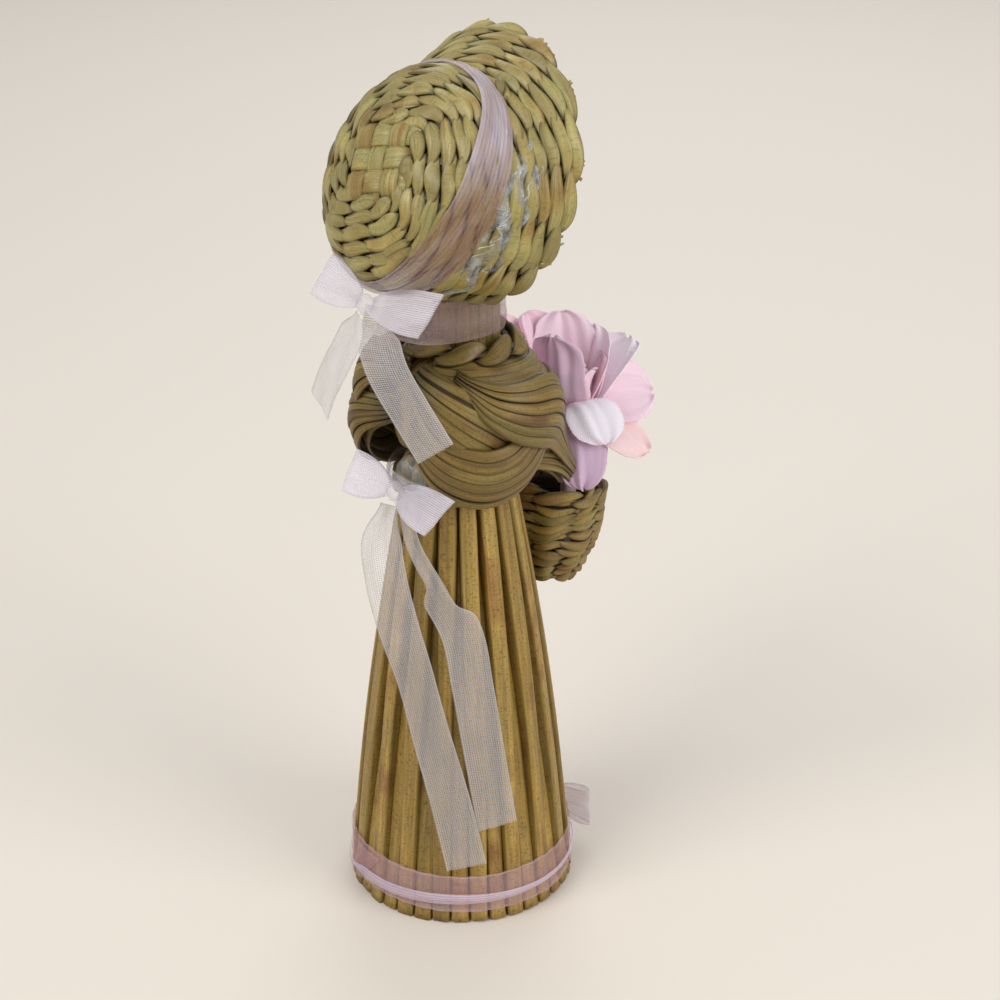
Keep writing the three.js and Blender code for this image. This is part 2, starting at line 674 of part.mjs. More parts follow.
// Waist ribbon, over the binding
const waistRibbonInner = waistRibbonOuter - RIBBON_THICKNESS;
const waistRibbonMid = (WAIST_HEIGHT + foldTop) / 2;
const waistLow = waistRibbonMid - RIBBON_WIDTH / 2;
const waistHigh = waistRibbonMid + RIBBON_WIDTH / 2;
piece('waist_ribbon', ringBand(waistRibbonInner, waistRibbonOuter, waistLow, waistHigh, 32), 'ribbon');
const waistKnot = V(0, waistRibbonOuter + CLEARANCE + KNOT_DEPTH / 2, waistRibbonMid);
knot('waist_bow_knot', waistKnot);
bowLoop('waist_bow_loop_left', waistKnot, V(0.82, 0.6, -0.05), V(0, 1, 0), 0.7);
bowLoop('waist_bow_loop_right', waistKnot, V(-0.9, 0.3, -0.32), V(0, 1, 0), 1);

// Stations of a waist tail: share of the way down, azimuth from straight behind, lift off the skirt
const WAIST_TAIL_LEFT = [
  [0, 5, 3.4],
  [0.08, 9, 5.2],
  [0.18, 7, 5.4],
  [0.3, -2, 3.8],
  [0.45, -14, 1.7],
  [0.6, -26, 0.9],
  [0.8, -40, 0.8],
  [1, -53, 0.8],
];
const WAIST_TAIL_RIGHT = [
  [0, -7, 3],
  [0.1, -15, 2.3],
  [0.23, -30, 1.1],
  [0.36, -46, 0.9],
  [0.55, -54, 0.8],
  [0.78, -62, 0.8],
  [1, -70, 0.8],
];
const tailTop = waistKnot.z - KNOT_HEIGHT / 2 - CLEARANCE;

function waistTail(stations, end) {
  const points = stations.map(([share, azimuth, lift]) => {
    const height = tailTop + (end - tailTop) * share;
    return around(azimuth, skirtSurface(Math.min(height, WAIST_HEIGHT)) + lift, height);
  });
  return tail(smooth(points, 18), (p) => V(p.x, p.y, 0));
}
piece('waist_tail_left', waistTail(WAIST_TAIL_LEFT, WAIST_TAIL_END), 'ribbon');
piece('waist_tail_right', waistTail(WAIST_TAIL_RIGHT, WAIST_TAIL_2_END), 'ribbon');

// Nape bow, under the back of the crown
knot('neck_bow_knot', napeKnot);

piece('neck_ribbon', neckRibbon(0), 'ribbon');
bowLoop('neck_bow_loop_left', napeKnot, V(0.8, 0.12, 0.36), V(0, 0.75, -0.65), 0.62);
bowLoop('neck_bow_loop_right', napeKnot, V(-0.95, -0.02, 0), V(0, 0.75, -0.65), 1.1);

// Stations of a neck tail: share of the way down, then sideways and backwards from the knot
function neckTail(stations, facing) {
  const top = napeKnot.z - KNOT_HEIGHT / 2 - CLEARANCE;
  const points = stations.map(([share, x, y]) => V(x, napeKnot.y + y, top - NECK_TAIL_DROP * share));
  return tail(smooth(points, 12), () => facing);
}
const NECK_TAIL_RIGHT = [
  [0, -1, 0.5],
  [0.3, -3.4, 0.9],
  [0.65, -8, -0.3],
  [1, -12.6, -1.9],
];
const NECK_TAIL_LEFT = [
  [0, 1.8, 0.5],
  [0.3, 3.6, 2.2],
  [0.6, 5.8, 3.2],
  [0.8, 7.4, 3.4],
];
piece('neck_tail_right', neckTail(NECK_TAIL_RIGHT, V(-0.35, 0.93, 0)), 'ribbon');
piece('neck_tail_left', neckTail(NECK_TAIL_LEFT, V(-0.3, 0.95, 0)), 'ribbon');

// Hem ribbon, glued round the foot of the skirt, with a small bow in front
const hemTop = HEM_RIBBON_HEIGHT + RIBBON_WIDTH;
const hemInner = (height) => skirtSurface(height) + CLEARANCE;
const hemRibbon = lathe(
  [
    [hemInner(HEM_RIBBON_HEIGHT), HEM_RIBBON_HEIGHT],
    [hemInner(HEM_RIBBON_HEIGHT) + RIBBON_THICKNESS, HEM_RIBBON_HEIGHT],
    [hemInner(hemTop) + RIBBON_THICKNESS, hemTop],
    [hemInner(hemTop), hemTop],
    [hemInner(HEM_RIBBON_HEIGHT), HEM_RIBBON_HEIGHT],
  ],
  48,
);
piece('hem_ribbon', hemRibbon, 'ribbon');
const hemMid = (HEM_RIBBON_HEIGHT + hemTop) / 2;
const hemFront = hemInner(HEM_RIBBON_HEIGHT) + RIBBON_THICKNESS + CLEARANCE + KNOT_DEPTH / 2;
const hemKnot = V(0, -hemFront, hemMid);
knot('hem_bow_knot', hemKnot);
bowLoop('hem_bow_loop_left', hemKnot, V(0.95, -0.12, 0.1), V(0, -1, 0), 0.8);
bowLoop('hem_bow_loop_right', hemKnot, V(-0.95, -0.12, 0.1), V(0, -1, 0), 0.8);

// The origin is on the floor, under the middle of the doll's outer box
const box = new THREE.Box3().setFromObject(doll, true);
const middle = box.getCenter(V(0, 0, 0));
doll.position.set(-middle.x, -middle.y, -box.min.z);

const rushDoll = new THREE.Group();
rushDoll.add(doll);
rushDoll.updateMatrixWorld(true);

export default rushDoll;
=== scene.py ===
"""A small doll of woven rush with sheer ribbon bows and a cloth flower, seen from behind and to its right."""

import math

import bpy
import numpy as np
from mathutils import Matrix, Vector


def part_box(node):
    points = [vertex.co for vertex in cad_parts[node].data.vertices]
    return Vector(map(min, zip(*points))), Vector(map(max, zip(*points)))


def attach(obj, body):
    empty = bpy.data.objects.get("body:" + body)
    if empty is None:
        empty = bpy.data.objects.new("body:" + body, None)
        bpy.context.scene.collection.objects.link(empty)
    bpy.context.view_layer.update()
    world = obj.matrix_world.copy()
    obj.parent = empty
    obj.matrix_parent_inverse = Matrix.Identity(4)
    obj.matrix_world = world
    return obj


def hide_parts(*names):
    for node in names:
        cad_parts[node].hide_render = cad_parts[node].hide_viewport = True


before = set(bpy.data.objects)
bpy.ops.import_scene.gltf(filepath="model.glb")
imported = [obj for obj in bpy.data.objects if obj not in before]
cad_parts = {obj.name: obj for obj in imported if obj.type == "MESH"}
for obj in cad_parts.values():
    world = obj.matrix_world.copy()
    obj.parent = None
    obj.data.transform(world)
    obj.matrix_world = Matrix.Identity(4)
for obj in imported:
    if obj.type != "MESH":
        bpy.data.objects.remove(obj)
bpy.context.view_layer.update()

# Where the doll stands
# The skirt's stems stand in a ring on the floor, so the doll's axis lies midway between the stem
# at its back and the stem at its front. The doll faces -Y, and its right hand is at -X. Shapes are
# worked out in millimetres about this axis and put into the frame when their mesh is made.
MM = 0.001
AXIS_Y = (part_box("skirt_stem_01")[1].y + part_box("skirt_stem_10")[0].y) / 2
AXIS = np.array([0.0, AXIS_Y, 0.0])
UP = np.array([0.0, 0.0, 1.0])

# Camera
# It looks down on the doll's back from the right, from about two and a half times its height away.
VIEW_AZIMUTH = math.radians(230)
VIEW_PITCH = math.radians(25.02)
VIEW_BACK = 330 * MM
VIEW_ASIDE = 6.8 * MM
VIEW_HEIGHT = 225 * MM
VIEW_LENS = 79.2

to_camera = np.array([math.sin(VIEW_AZIMUTH), -math.cos(VIEW_AZIMUTH), 0.0])
image_right = np.array([math.cos(VIEW_AZIMUTH), math.sin(VIEW_AZIMUTH), 0.0])
camera = bpy.data.objects.new("camera", bpy.data.cameras.new("camera"))
bpy.context.scene.collection.objects.link(camera)
camera.data.lens = VIEW_LENS
camera.data.sensor_width = 36
camera.data.clip_start = 0.01
camera.location = AXIS + VIEW_BACK * to_camera + VIEW_ASIDE * image_right + [0, 0, VIEW_HEIGHT]
camera.rotation_euler = (math.pi / 2 - VIEW_PITCH, 0, VIEW_AZIMUTH)
bpy.context.scene.camera = camera
bpy.context.scene.view_settings.view_transform = "Standard"


# Light
# Three broad soft lamps, from the left of the picture, from its right and from behind the doll, and an
# even pale room all round.
LAMP_AIM = 75 * MM
# towards the camera, to the right of the picture and up, in metres, then the lamp's size and power
LAMPS = {
    "key_lamp": (0.42, -0.5, 0.75, 0.5, 5.0),
    "fill_lamp": (0.45, 0.7, 0.5, 0.6, 4.6),
    "back_lamp": (-0.7, 0.1, 0.6, 0.6, 2.2),
}
ROOM_COLOUR = (0.93, 0.95, 1.0, 1)
ROOM_STRENGTH = 0.54


def soft_lamp(name, place, size, power):
    """A square lamp at a place, turned to face the middle of the doll."""
    lamp = bpy.data.objects.new(name, bpy.data.lights.new(name, "AREA"))
    lamp.data.size = size
    lamp.data.energy = power
    bpy.context.scene.collection.objects.link(lamp)
    lamp.location = place
    aim = type(lamp.location)(AXIS + [0, 0, LAMP_AIM]) - lamp.location
    lamp.rotation_euler = aim.to_track_quat("-Z", "Y").to_euler()


for name, (ahead, aside, up, size, power) in LAMPS.items():
    soft_lamp(name, AXIS + ahead * to_camera + aside * image_right + [0, 0, up], size, power)
world = bpy.data.worlds.new("room")
bpy.context.scene.world = world
world.use_nodes = True
world.node_tree.nodes["Background"].inputs["Color"].default_value = ROOM_COLOUR
world.node_tree.nodes["Background"].inputs["Strength"].default_value = ROOM_STRENGTH


# Floor
# A plain pale surface under the doll, wide enough to fill every view.
HALF_FLOOR = 1.5
FLOOR_COLOUR = (216, 207, 194)
FLOOR_ROUGHNESS = 0.6


def paint(red, green, blue):
    """A colour as it looks on a screen, from 0 to 255, turned into the light that a shader works in."""
    seen = np.array([red, green, blue]) / 255
    light = np.where(seen <= 0.04045, seen / 12.92, ((seen + 0.055) / 1.055) ** 2.4)
    return (*(float(x) for x in light), 1.0)


floor_mesh = bpy.data.meshes.new("floor")
floor_corners = np.array([[-1, -1, 0], [1, -1, 0], [1, 1, 0], [-1, 1, 0]]) * HALF_FLOOR
floor_mesh.from_pydata(floor_corners, [], [(0, 1, 2, 3)])
floor = bpy.data.objects.new("floor", floor_mesh)
bpy.context.scene.collection.objects.link(floor)
floor_material = bpy.data.materials.new("pale_floor")
floor_material.use_nodes = True
floor_shader = floor_material.node_tree.nodes["Principled BSDF"]
floor_shader.inputs["Base Color"].default_value = paint(*FLOOR_COLOUR)
floor_shader.inputs["Roughness"].default_value = FLOOR_ROUGHNESS
floor_mesh.materials.append(floor_material)


# Skirt
# Dried rush stems, each folded double over the waist tie. They stand side by side round the hem and
# crowd into two layers at the waist. Drying has left each one a little flat, with lengthwise furrows.
STEM_PAIRS = 18
HEM_RADIUS = 18.2
WAIST_RADIUS = 8.4
WAIST_HEIGHT = 74
SKIRT_BULGE = 0.45
STEM_THICKNESS = 2.6
STEM_SPACING = 0.35
STEM_HEAD = 4
STEM_FOLD_RISE = 1.5
STEM_SIDES = 18
STEM_STEPS = 44
FOLD_STEPS = 10
STEM_WIDTH = math.pi * HEM_RADIUS / STEM_PAIRS - STEM_SPACING
RUSH_FLECK = (70, 48, 22)
RUSH_SPECULAR = 0.45


def unit(vectors):
    """Each vector divided by its own length."""
    return vectors / np.maximum(np.linalg.norm(vectors, axis=-1, keepdims=True), 1e-12)


def along_path(path, loop=False):
    """The direction of a path at each of its points, from the points on either side."""
    if loop:
        return unit(np.roll(path, -1, 0) - np.roll(path, 1, 0))
    return unit(np.gradient(path, axis=0))


def skin_angles(sides):
    """The way round an oval to each corner of a skin: its edges lie at 0 and half a turn."""
    return (np.arange(sides) + 0.5) * 2 * np.pi / sides


def skin(path, across, width, thickness, sides=10, flatness=1.0, loop=False):
    """A skin round a path: an oval at each point, its width laid across and its thickness square to both.

    The oval is (width cos a, thickness sin a); a flatness below one squares it into a round-edged strip.
    """
    along = along_path(path, loop)
    wide = unit(across - (across * along).sum(-1, keepdims=True) * along)
    thin = np.cross(along, wide)
    angle = skin_angles(sides)
    cosine = np.sign(np.cos(angle)) * np.abs(np.cos(angle)) ** flatness
    sine = np.sign(np.sin(angle)) * np.abs(np.sin(angle)) ** flatness
    half_width = np.broadcast_to(width, len(path))[:, None] * cosine / 2
    half_thickness = np.broadcast_to(thickness, len(path))[:, None] * sine / 2
    return path[:, None] + wide[:, None] * half_width[..., None] + thin[:, None] * half_thickness[..., None]


def joined_mesh(name, bands):
    """Joins bands into one mesh, with their lengths in millimetres as UV and their tone and shade kept.

    A band is (grid of points, kind, tone, shade); its rows run along it and its columns across. A sheet
    is open, a hoop closes along, a tube closes across and has its ends filled, and a ring closes both ways.
    """
    points, corners, places, tones, shades = [], [], [], [], []
    first = 0
    for grid, kind, tone, shade in bands:
        rows, columns = grid.shape[:2]
        i, j = np.meshgrid(
            np.arange(rows if kind in ("ring", "hoop") else rows - 1),
            np.arange(columns if kind in ("ring", "tube") else columns - 1),
            indexing="ij",
        )
        i_next, j_next = (i + 1) % rows, (j + 1) % columns
        quads = np.stack(
            [i * columns + j, i * columns + j_next, i_next * columns + j_next, i_next * columns + j], -1
        ).reshape(-1, 4)
        middle = grid.mean(1)
        steps = np.linalg.norm(np.roll(middle, -1, 0) - middle, axis=1)
        u = np.concatenate([[0], np.cumsum(steps)])
        girth = np.linalg.norm(np.diff(grid[rows // 2], axis=0), axis=1).sum()
        v = np.arange(columns + 1) * girth / (columns - 1)
        uv = np.stack(
            [np.stack([u[i + a], v[j + b]], -1) for a, b in ((0, 0), (0, 1), (1, 1), (1, 0))], 2
        ).reshape(-1, 4, 2)
        if kind == "tube":
            k = np.arange(columns // 2 - 1)
            start = np.stack([columns - 1 - k, columns - 2 - k, k + 1, k], -1)
            end = (rows - 1) * columns + np.stack([k, k + 1, columns - 2 - k, columns - 1 - k], -1)
            quads = np.concatenate([quads, start, end])
            ends = np.repeat(np.stack([k, k + 1, k + 1, k], -1)[..., None] * girth / columns, 2, -1)
            uv = np.concatenate([uv, ends, ends])
        flat = grid.reshape(-1, 3)
        if kind in ("tube", "ring"):
            a, b, c, d = (flat - flat.mean(0))[quads.T]
            if (a * (np.cross(b, c) + np.cross(c, d))).sum() < 0:
                quads, uv = quads[:, ::-1], uv[:, ::-1]
        points.append(flat)
        corners.append(quads + first)
        places.append(uv)
        tones.append(np.broadcast_to(tone, (rows, columns)).ravel())
        shades.append(np.broadcast_to(shade, (rows, columns)).ravel())
        first += len(flat)
    points = np.concatenate(points) * MM + AXIS
    corners = np.concatenate(corners)
    mesh = bpy.data.meshes.new(name)
    mesh.vertices.add(len(points))
    mesh.vertices.foreach_set("co", points.astype(np.float32).ravel())
    mesh.loops.add(corners.size)
    mesh.loops.foreach_set("vertex_index", corners.astype(np.int32).ravel())
    mesh.polygons.add(len(corners))
    mesh.polygons.foreach_set("loop_start", np.arange(0, corners.size, 4, dtype=np.int32))
    mesh.polygons.foreach_set("use_smooth", np.ones(len(corners), bool))
    mesh.update(calc_edges=True)
    lengths = mesh.uv_layers.new(name="UVMap")
    lengths.data.foreach_set("uv", np.concatenate(places).astype(np.float32).ravel())
    for label, values in (("tone", tones), ("shade", shades)):
        attribute = mesh.attributes.new(label, "FLOAT", "POINT")
        attribute.data.foreach_set("value", np.concatenate(values).astype(np.float32))
    return mesh


def make_piece(name, bands, material, nodes, body="doll", thickness=None):
    """One piece of the doll: its joined mesh, its finish, the body it rides on and the nodes it stands for.

    A cloth piece is given its thickness, half of it on each side of its sheet.
    """
    piece = bpy.data.objects.new(name, joined_mesh(name, bands))
    bpy.context.scene.collection.objects.link(piece)
    piece.data.materials.append(material)
    if thickness:
        wall = piece.modifiers.new("thickness", "SOLIDIFY")
        wall.thickness = thickness * MM
        wall.offset = 0
    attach(piece, body)
    if nodes:
        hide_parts(*nodes)
    return piece


class Finish:
    """A material's node tree, with a short way to add a node, feed its sockets and take its result."""

    def __init__(self, name):
        self.material = bpy.data.materials.new(name)
        self.material.use_nodes = True
        self.tree = self.material.node_tree
        self.shader = self.tree.nodes["Principled BSDF"]

    def feed(self, socket, value):
        if isinstance(value, bpy.types.NodeSocket):
            self.tree.links.new(value, socket)
        else:
            socket.default_value = value

    def node(self, kind, result, feeds, **settings):
        made = self.tree.nodes.new("ShaderNode" + kind)
        for key, value in settings.items():
            setattr(made, key, value)
        for key, value in feeds.items():
            self.feed(made.inputs[key], value)
        return made.outputs[result]

    def sum(self, operation, first, second=0.0):
        return self.node("Math", 0, {0: first, 1: second}, operation=operation)

    def blend(self, share, first, second, how="MIX"):
        return self.node("Mix", 2, {0: share, 6: first, 7: second}, data_type="RGBA", blend_type=how)

    def attribute(self, name):
        return self.node("Attribute", "Fac", {}, attribute_name=name)

    def lengths(self):
        return self.node("UVMap", 0, {}, uv_map="UVMap")

    def spread(self, value, low, high, out_low=0.0, out_high=1.0):
        return self.node("MapRange", 0, {0: value, 1: low, 2: high, 3: out_low, 4: out_high})

    def drawn_out(self, vector, along, across):
        return self.node("VectorMath", 0, {0: vector, 1: (along, across, 1.0)}, operation="MULTIPLY")

    def noise(self, vector, scale=1.0, detail=2.0, roughness=0.5):
        feeds = {"Vector": vector, "Scale": scale, "Detail": detail, "Roughness": roughness}
        return self.node("TexNoise", 0, feeds)

    def lit(self, colour, light):
        grey = self.node("CombineColor", 0, {0: light, 1: light, 2: light})
        return self.blend(1.0, colour, grey, "MULTIPLY")

    def bump(self, height, strength, distance):
        feeds = {"Height": height, "Strength": strength, "Distance": distance * MM}
        return self.node("Bump", 0, feeds)

    def finish(self, **sockets):
        for key, value in sockets.items():
            self.feed(self.shader.inputs[key.replace("_", " ").title()], value)
        return self.material


def rush_finish(name, gold, green, brown, speckles, furrow, gloss):
    """Dried rush: fine furrows along the stem, slow drifts from gold to green, brown flecks, painted shade in
    its hollows.

    The furrows are noise drawn out along the length. The tone of each stem shifts and lightens all of them,
    and its shade attribute paints shade on its edges and on what lies under another.
    """
    f = Finish(name)
    tone = f.attribute("tone")
    shade = f.attribute("shade")
    shift = {i: f.sum("MULTIPLY", tone, k) for i, k in ((0, 410.0), (1, 230.0), (2, 67.0))}
    place = f.node("VectorMath", 0, {0: f.lengths(), 1: f.node("CombineXYZ", 0, shift)}, operation="ADD")
    lines = f.noise(f.drawn_out(place, 0.05, 2.6), 1.0, 3.0, 0.6)
    fine_lines = f.noise(f.drawn_out(place, 0.16, 7.0), 1.0, 2.0, 0.6)
    drift = f.noise(f.drawn_out(place, 0.09, 0.22))
    flecks = f.noise(f.drawn_out(place, 2.8, 4.6), 1.0, 3.0, 0.7)
    greening = f.sum("ADD", drift, f.sum("MULTIPLY", f.sum("SUBTRACT", tone, 0.5), 0.16))
    colour = f.blend(f.spread(greening, 0.4, 0.68), paint(*gold), paint(*green))
    browning = f.sum("SUBTRACT", drift, f.sum("MULTIPLY", tone, 0.2))
    colour = f.blend(f.spread(browning, 0.34, 0.18), colour, paint(*brown))
    light = f.spread(lines, 0.3, 0.7, 0.7, 1.18)
    light = f.sum("MULTIPLY", light, f.spread(fine_lines, 0.3, 0.7, 0.78, 1.14))
    light = f.sum("MULTIPLY", light, f.spread(tone, 0.0, 1.0, 0.76, 1.16))
    # Painted shade: the shade attribute darkens edges, hollows and what lies under another strand.
    light = f.sum("MULTIPLY", light, f.spread(shade, 0.0, 1.0, 1.0, 0.1))
    colour = f.lit(colour, light)
    spots = f.sum("MULTIPLY", f.spread(flecks, 0.53, 0.66), speckles)
    colour = f.blend(spots, colour, paint(*RUSH_FLECK))
    height = f.sum("ADD", lines, f.sum("MULTIPLY", fine_lines, 0.4))
    rough = f.spread(lines, 0.3, 0.7, gloss + 0.16, gloss)
    f.shader.inputs["Specular IOR Level"].default_value = RUSH_SPECULAR
    return f.finish(base_color=colour, roughness=rough, normal=f.bump(height, furrow, 0.25))


def wave(way, rng):
    """A sine wave of the way along something, which starts at a random place."""
    return np.sin(way + rng.uniform(0, 6))


def ring_of_stems(share):
    """Radius of the outer and the inner ring of stems at a share of the way up from the floor.

    The outer ring runs from hem to waist with a swell; each second stem sinks behind as its room closes.
    """
    up = np.minimum(share, 1)
    outer = WAIST_RADIUS + (HEM_RADIUS - WAIST_RADIUS) * (1 - up) * (1 + SKIRT_BULGE * up)
    half_pitch = math.pi * outer / STEM_PAIRS
    reach = max(STEM_WIDTH, STEM_THICKNESS) + STEM_SPACING
    inner = outer - np.sqrt(np.maximum(0, reach**2 - half_pitch**2))
    return outer, inner


def skirt_surface(height):
    """Radius of the skirt's outside at a height."""
    return ring_of_stems(height / WAIST_HEIGHT)[0] + STEM_THICKNESS / 2


def around(azimuth, radius, height):
    """Points about the doll's axis: azimuth in degrees from straight behind towards its left."""
    a = np.radians(azimuth)
    return np.stack(np.broadcast_arrays(radius * np.sin(a), radius * np.cos(a), height), -1)


def skirt_stem(index, rng):
    """One folded stem: up the outer ring, over the waist tie in a half circle, and down the inner ring.

    Its oval has a furrow and slow ripples in its radius, and its legs wander a little from their places.
    """
    pitch = 360 / STEM_PAIRS
    up = np.linspace(0, 1, STEM_STEPS)
    outer, inner = ring_of_stems(up)
    room = np.minimum(STEM_WIDTH, 2 * math.pi * np.stack([outer, inner]) / STEM_PAIRS - STEM_SPACING)
    wander = 0.5 * wave(up * rng.uniform(2, 5), rng) * np.sin(np.pi * up)
    turn = np.linspace(0, np.pi, FOLD_STEPS)[1:-1]
    share = (1 - np.cos(turn)) / 2
    azimuth = np.concatenate([wander, share * pitch / 2, pitch / 2 - wander[::-1]]) + index * pitch
    radius = np.concatenate([outer, outer[-1] + (inner[-1] - outer[-1]) * share, inner[::-1]])
    fold = WAIST_HEIGHT + STEM_HEAD + STEM_FOLD_RISE * np.sin(turn)
    height = np.concatenate([up * WAIST_HEIGHT, fold, up[::-1] * WAIST_HEIGHT])
    width = np.concatenate([room[0], np.full(len(turn), room[1, -1]), room[1, ::-1]])
    width = width * (rng.uniform(1.04, 1.14) + 0.05 * wave(height / 9, rng))
    path = around(azimuth, radius, height)
    thickness = np.minimum(STEM_THICKNESS, width)
    grid = skin(path, around(azimuth + 90, 1, 0), width, thickness, STEM_SIDES, 0.4)
    angle = skin_angles(STEM_SIDES)
    furrow_at = rng.uniform(0.9, 2.2) + 0.4 * wave(height / 21, rng)
    beside = np.angle(np.exp(1j * (angle[None] - furrow_at[:, None])))
    furrow = np.exp(-((beside / 0.3) ** 2)) * rng.uniform(0.2, 1)
    ripple = 1 - 0.2 * furrow + 0.03 * np.cos(3 * angle + rng.uniform(0, 6))
    grid = path[:, None] + (grid - path[:, None]) * ripple[..., None]
    grid[0, :, 2] = rng.uniform(0, 0.5)
    grid[-1, :, 2] = rng.uniform(0, 0.5)
    # Painted shade: darker along the stem's edges and in its furrow.
    edge = np.abs(np.cos(angle)) ** 8 * 0.45
    return grid, "tube", rng.uniform(0, 1), np.clip(0.3 * furrow + edge, 0, 1)


stem_finish = rush_finish("rush_stem", (172, 138, 62), (160, 132, 64), (140, 100, 46),
                          speckles=0.7, furrow=0.5, gloss=0.4)
stem_rng = np.random.default_rng(5)
for n in range(STEM_PAIRS):
    label = f"skirt_stem_{n + 1:02d}"
    make_piece("rush_" + label, [skirt_stem(n, stem_rng)], stem_finish, [label])

# Body
# A bundle of split rush from inside the skirt up to the neck, full at the chest and drawn in above it.
# Its top end bends back into the head. A rush strip is wound three times round the folded stems to bind
# them at the waist.
CORE_FOOT = 58
CORE_RADIUS = 4.4
TORSO_FOOT = 81.4
TORSO_RADIUS = 10.6
SHOULDER_HEIGHT = 97.5
NECK_RADIUS = 5.6
NECK_TOP = 110
NECK_END = 113.2
NECK_LEAN = 2
BODY_STRIPS = 28
BINDING_RADIUS = 10.5
BINDING_TURNS = 3
BINDING_WIDTH = 1.5
BINDING_THICKNESS = 0.9
BINDING_MARGIN = 0.7


def body_strips(rng):
    """Flat strips laid up a turned profile, side by side all round, on a tube in painted shade that fills the
    middle.

    The profile is radius against height. It leans forward to the neck and back again above it.
    """
    heights = [CORE_FOOT, TORSO_FOOT - 0.3, TORSO_FOOT + 0.4, TORSO_FOOT + 3, SHOULDER_HEIGHT - 4,
               SHOULDER_HEIGHT - 1.2, SHOULDER_HEIGHT, NECK_TOP - 2.5, NECK_END]
    radii = [CORE_RADIUS, CORE_RADIUS, TORSO_RADIUS - 1, TORSO_RADIUS, TORSO_RADIUS,
             (TORSO_RADIUS + NECK_RADIUS) / 2, NECK_RADIUS, NECK_RADIUS, NECK_RADIUS - 1.4]
    leans = [0, 0, 0, 0, 0.3, 0.7, 1, 1, -0.6]
    z = np.concatenate([np.linspace(CORE_FOOT, TORSO_FOOT - 1, 8), np.linspace(TORSO_FOOT, NECK_END, 56)])
    radius = np.interp(z, heights, radii)
    radius[8:] = np.convolve(np.pad(radius[8:], 2, "edge"), np.ones(5) / 5, "valid")
    lean = np.stack([z * 0, -NECK_LEAN * np.interp(z, heights, leans), z * 0], -1)
    azimuth = np.arange(20) * 18.0
    shade_filling = around(azimuth[None], radius[:, None] - 0.8, z[:, None]) + lean[:, None]
    bands = [(shade_filling, "tube", 0.2, 0.85)]
    for k in range(BODY_STRIPS):
        at = k * 360 / BODY_STRIPS + 3 * wave(z / 11, rng)
        path = around(at, radius - 0.55 + rng.uniform(-0.15, 0.15), z) + lean
        width = 2 * np.pi * radius / BODY_STRIPS * rng.uniform(1.1, 1.35)
        grid = skin(path, around(at + 90, 1, 0), width, 0.9, 8, 0.75)
        bands.append((grid, "tube", rng.uniform(0, 1), 0.1))
    return bands


def waist_binding(rng):
    """A flat strip wound in a helix about the axis, from the foot of the stems' heads to their top."""
    share = np.linspace(0, 1, 60 * BINDING_TURNS)
    azimuth = 360 * BINDING_TURNS * share + rng.uniform(0, 360)
    low = WAIST_HEIGHT + BINDING_MARGIN
    high = WAIST_HEIGHT + STEM_HEAD - BINDING_MARGIN
    path = around(azimuth, BINDING_RADIUS + 0.1 * np.sin(7 * share + 1), low + (high - low) * share)
    grid = skin(path, UP, BINDING_WIDTH, BINDING_THICKNESS, 8, 0.75)
    return grid, "tube", rng.uniform(0.3, 1), 0.1


core_finish = rush_finish("rush_core", (158, 128, 60), (138, 124, 64), (120, 88, 42),
                          speckles=0.5, furrow=0.6, gloss=0.45)
body_rng = np.random.default_rng(11)
make_piece("rush_body", body_strips(body_rng), core_finish, ["body_core"])
make_piece("rush_waist_binding", [waist_binding(body_rng)], core_finish, ["waist_binding"])

# Collar and shoulders
# Two broad rush strands twisted together, on a plain core, lie round the foot of the neck. Below them flat
# strips are wrapped round each shoulder from the back to the front, and their ends are tucked under the arm.
COLLAR_RADIUS = 7.9
COLLAR_HEIGHT = 99.0
COLLAR_STRAND_WIDTH = 3.0
COLLAR_STITCHES = 8
COLLAR_CORE_INSET = 0.8
COLLAR_CORE_SIZE = (2.8, 1.1)
YOKE_INNER = 8.7
YOKE_OUTER = 14.2
YOKE_TOP = 97.9
YOKE_DROP = 5.4
YOKE_STRIPS = 5
YOKE_STRIP_WIDTH = 2.3
YOKE_STRIP_THICKNESS = 0.8


def edge_shade(sides):
    """How strongly shade is painted at each corner of a skin: one on the strip's edge, falling off to its
    face.
    """
    return np.abs(np.cos(skin_angles(sides))) ** 4


def twined_row(line, out, stitch, width, rng, loop=True, slant=1.0, depth=0.45, thickness=0.72, wrap=None):
    """Two flat strands that turn about each other by half a turn from one stitch to the next.

    A strand lies at the row's line plus out by depth times a flattened cos a and aside by a share of the
    width times sin a, where a is half a turn a stitch. It is broad where it shows and comes to a point
    where it passes under the other. A stitch's tone comes round again after as many stitches as wrap says.
    """
    sides = 12
    along = along_path(line, loop)
    aside = np.cross(out, along)
    width = np.broadcast_to(width, len(line))
    edge = edge_shade(sides)
    bands = []
    for strand in (0, 1):
        a = np.pi * (stitch + strand)
        face = np.cos(a) + 0.42
        shown = np.clip(face / 1.42, 0, 1)
        lie = shown**0.45 - np.clip(-face / 0.58, 0, 1) ** 0.5
        path = line + out * (depth * lie)[:, None] + aside * (slant * 0.37 * width * np.sin(a))[:, None]
        broad = width * (0.14 + 0.95 * shown**0.6)
        lean = aside + out * (0.3 * np.sin(a))[:, None]
        grid = skin(path, lean, broad, thickness * (0.7 + 0.3 * shown), sides, 0.62, loop)
        number = np.floor((stitch + strand) / 2 + 0.5).astype(int)
        tone = rng.uniform(0, 1, 97)[number % (wrap or 97)]
        shade = np.clip(0.8 - 1.8 * face, 0, 0.95)[:, None] + 0.6 * edge
        bands.append((grid, "ring" if loop else "tube", tone[:, None], np.clip(shade, 0, 1)))
    return bands


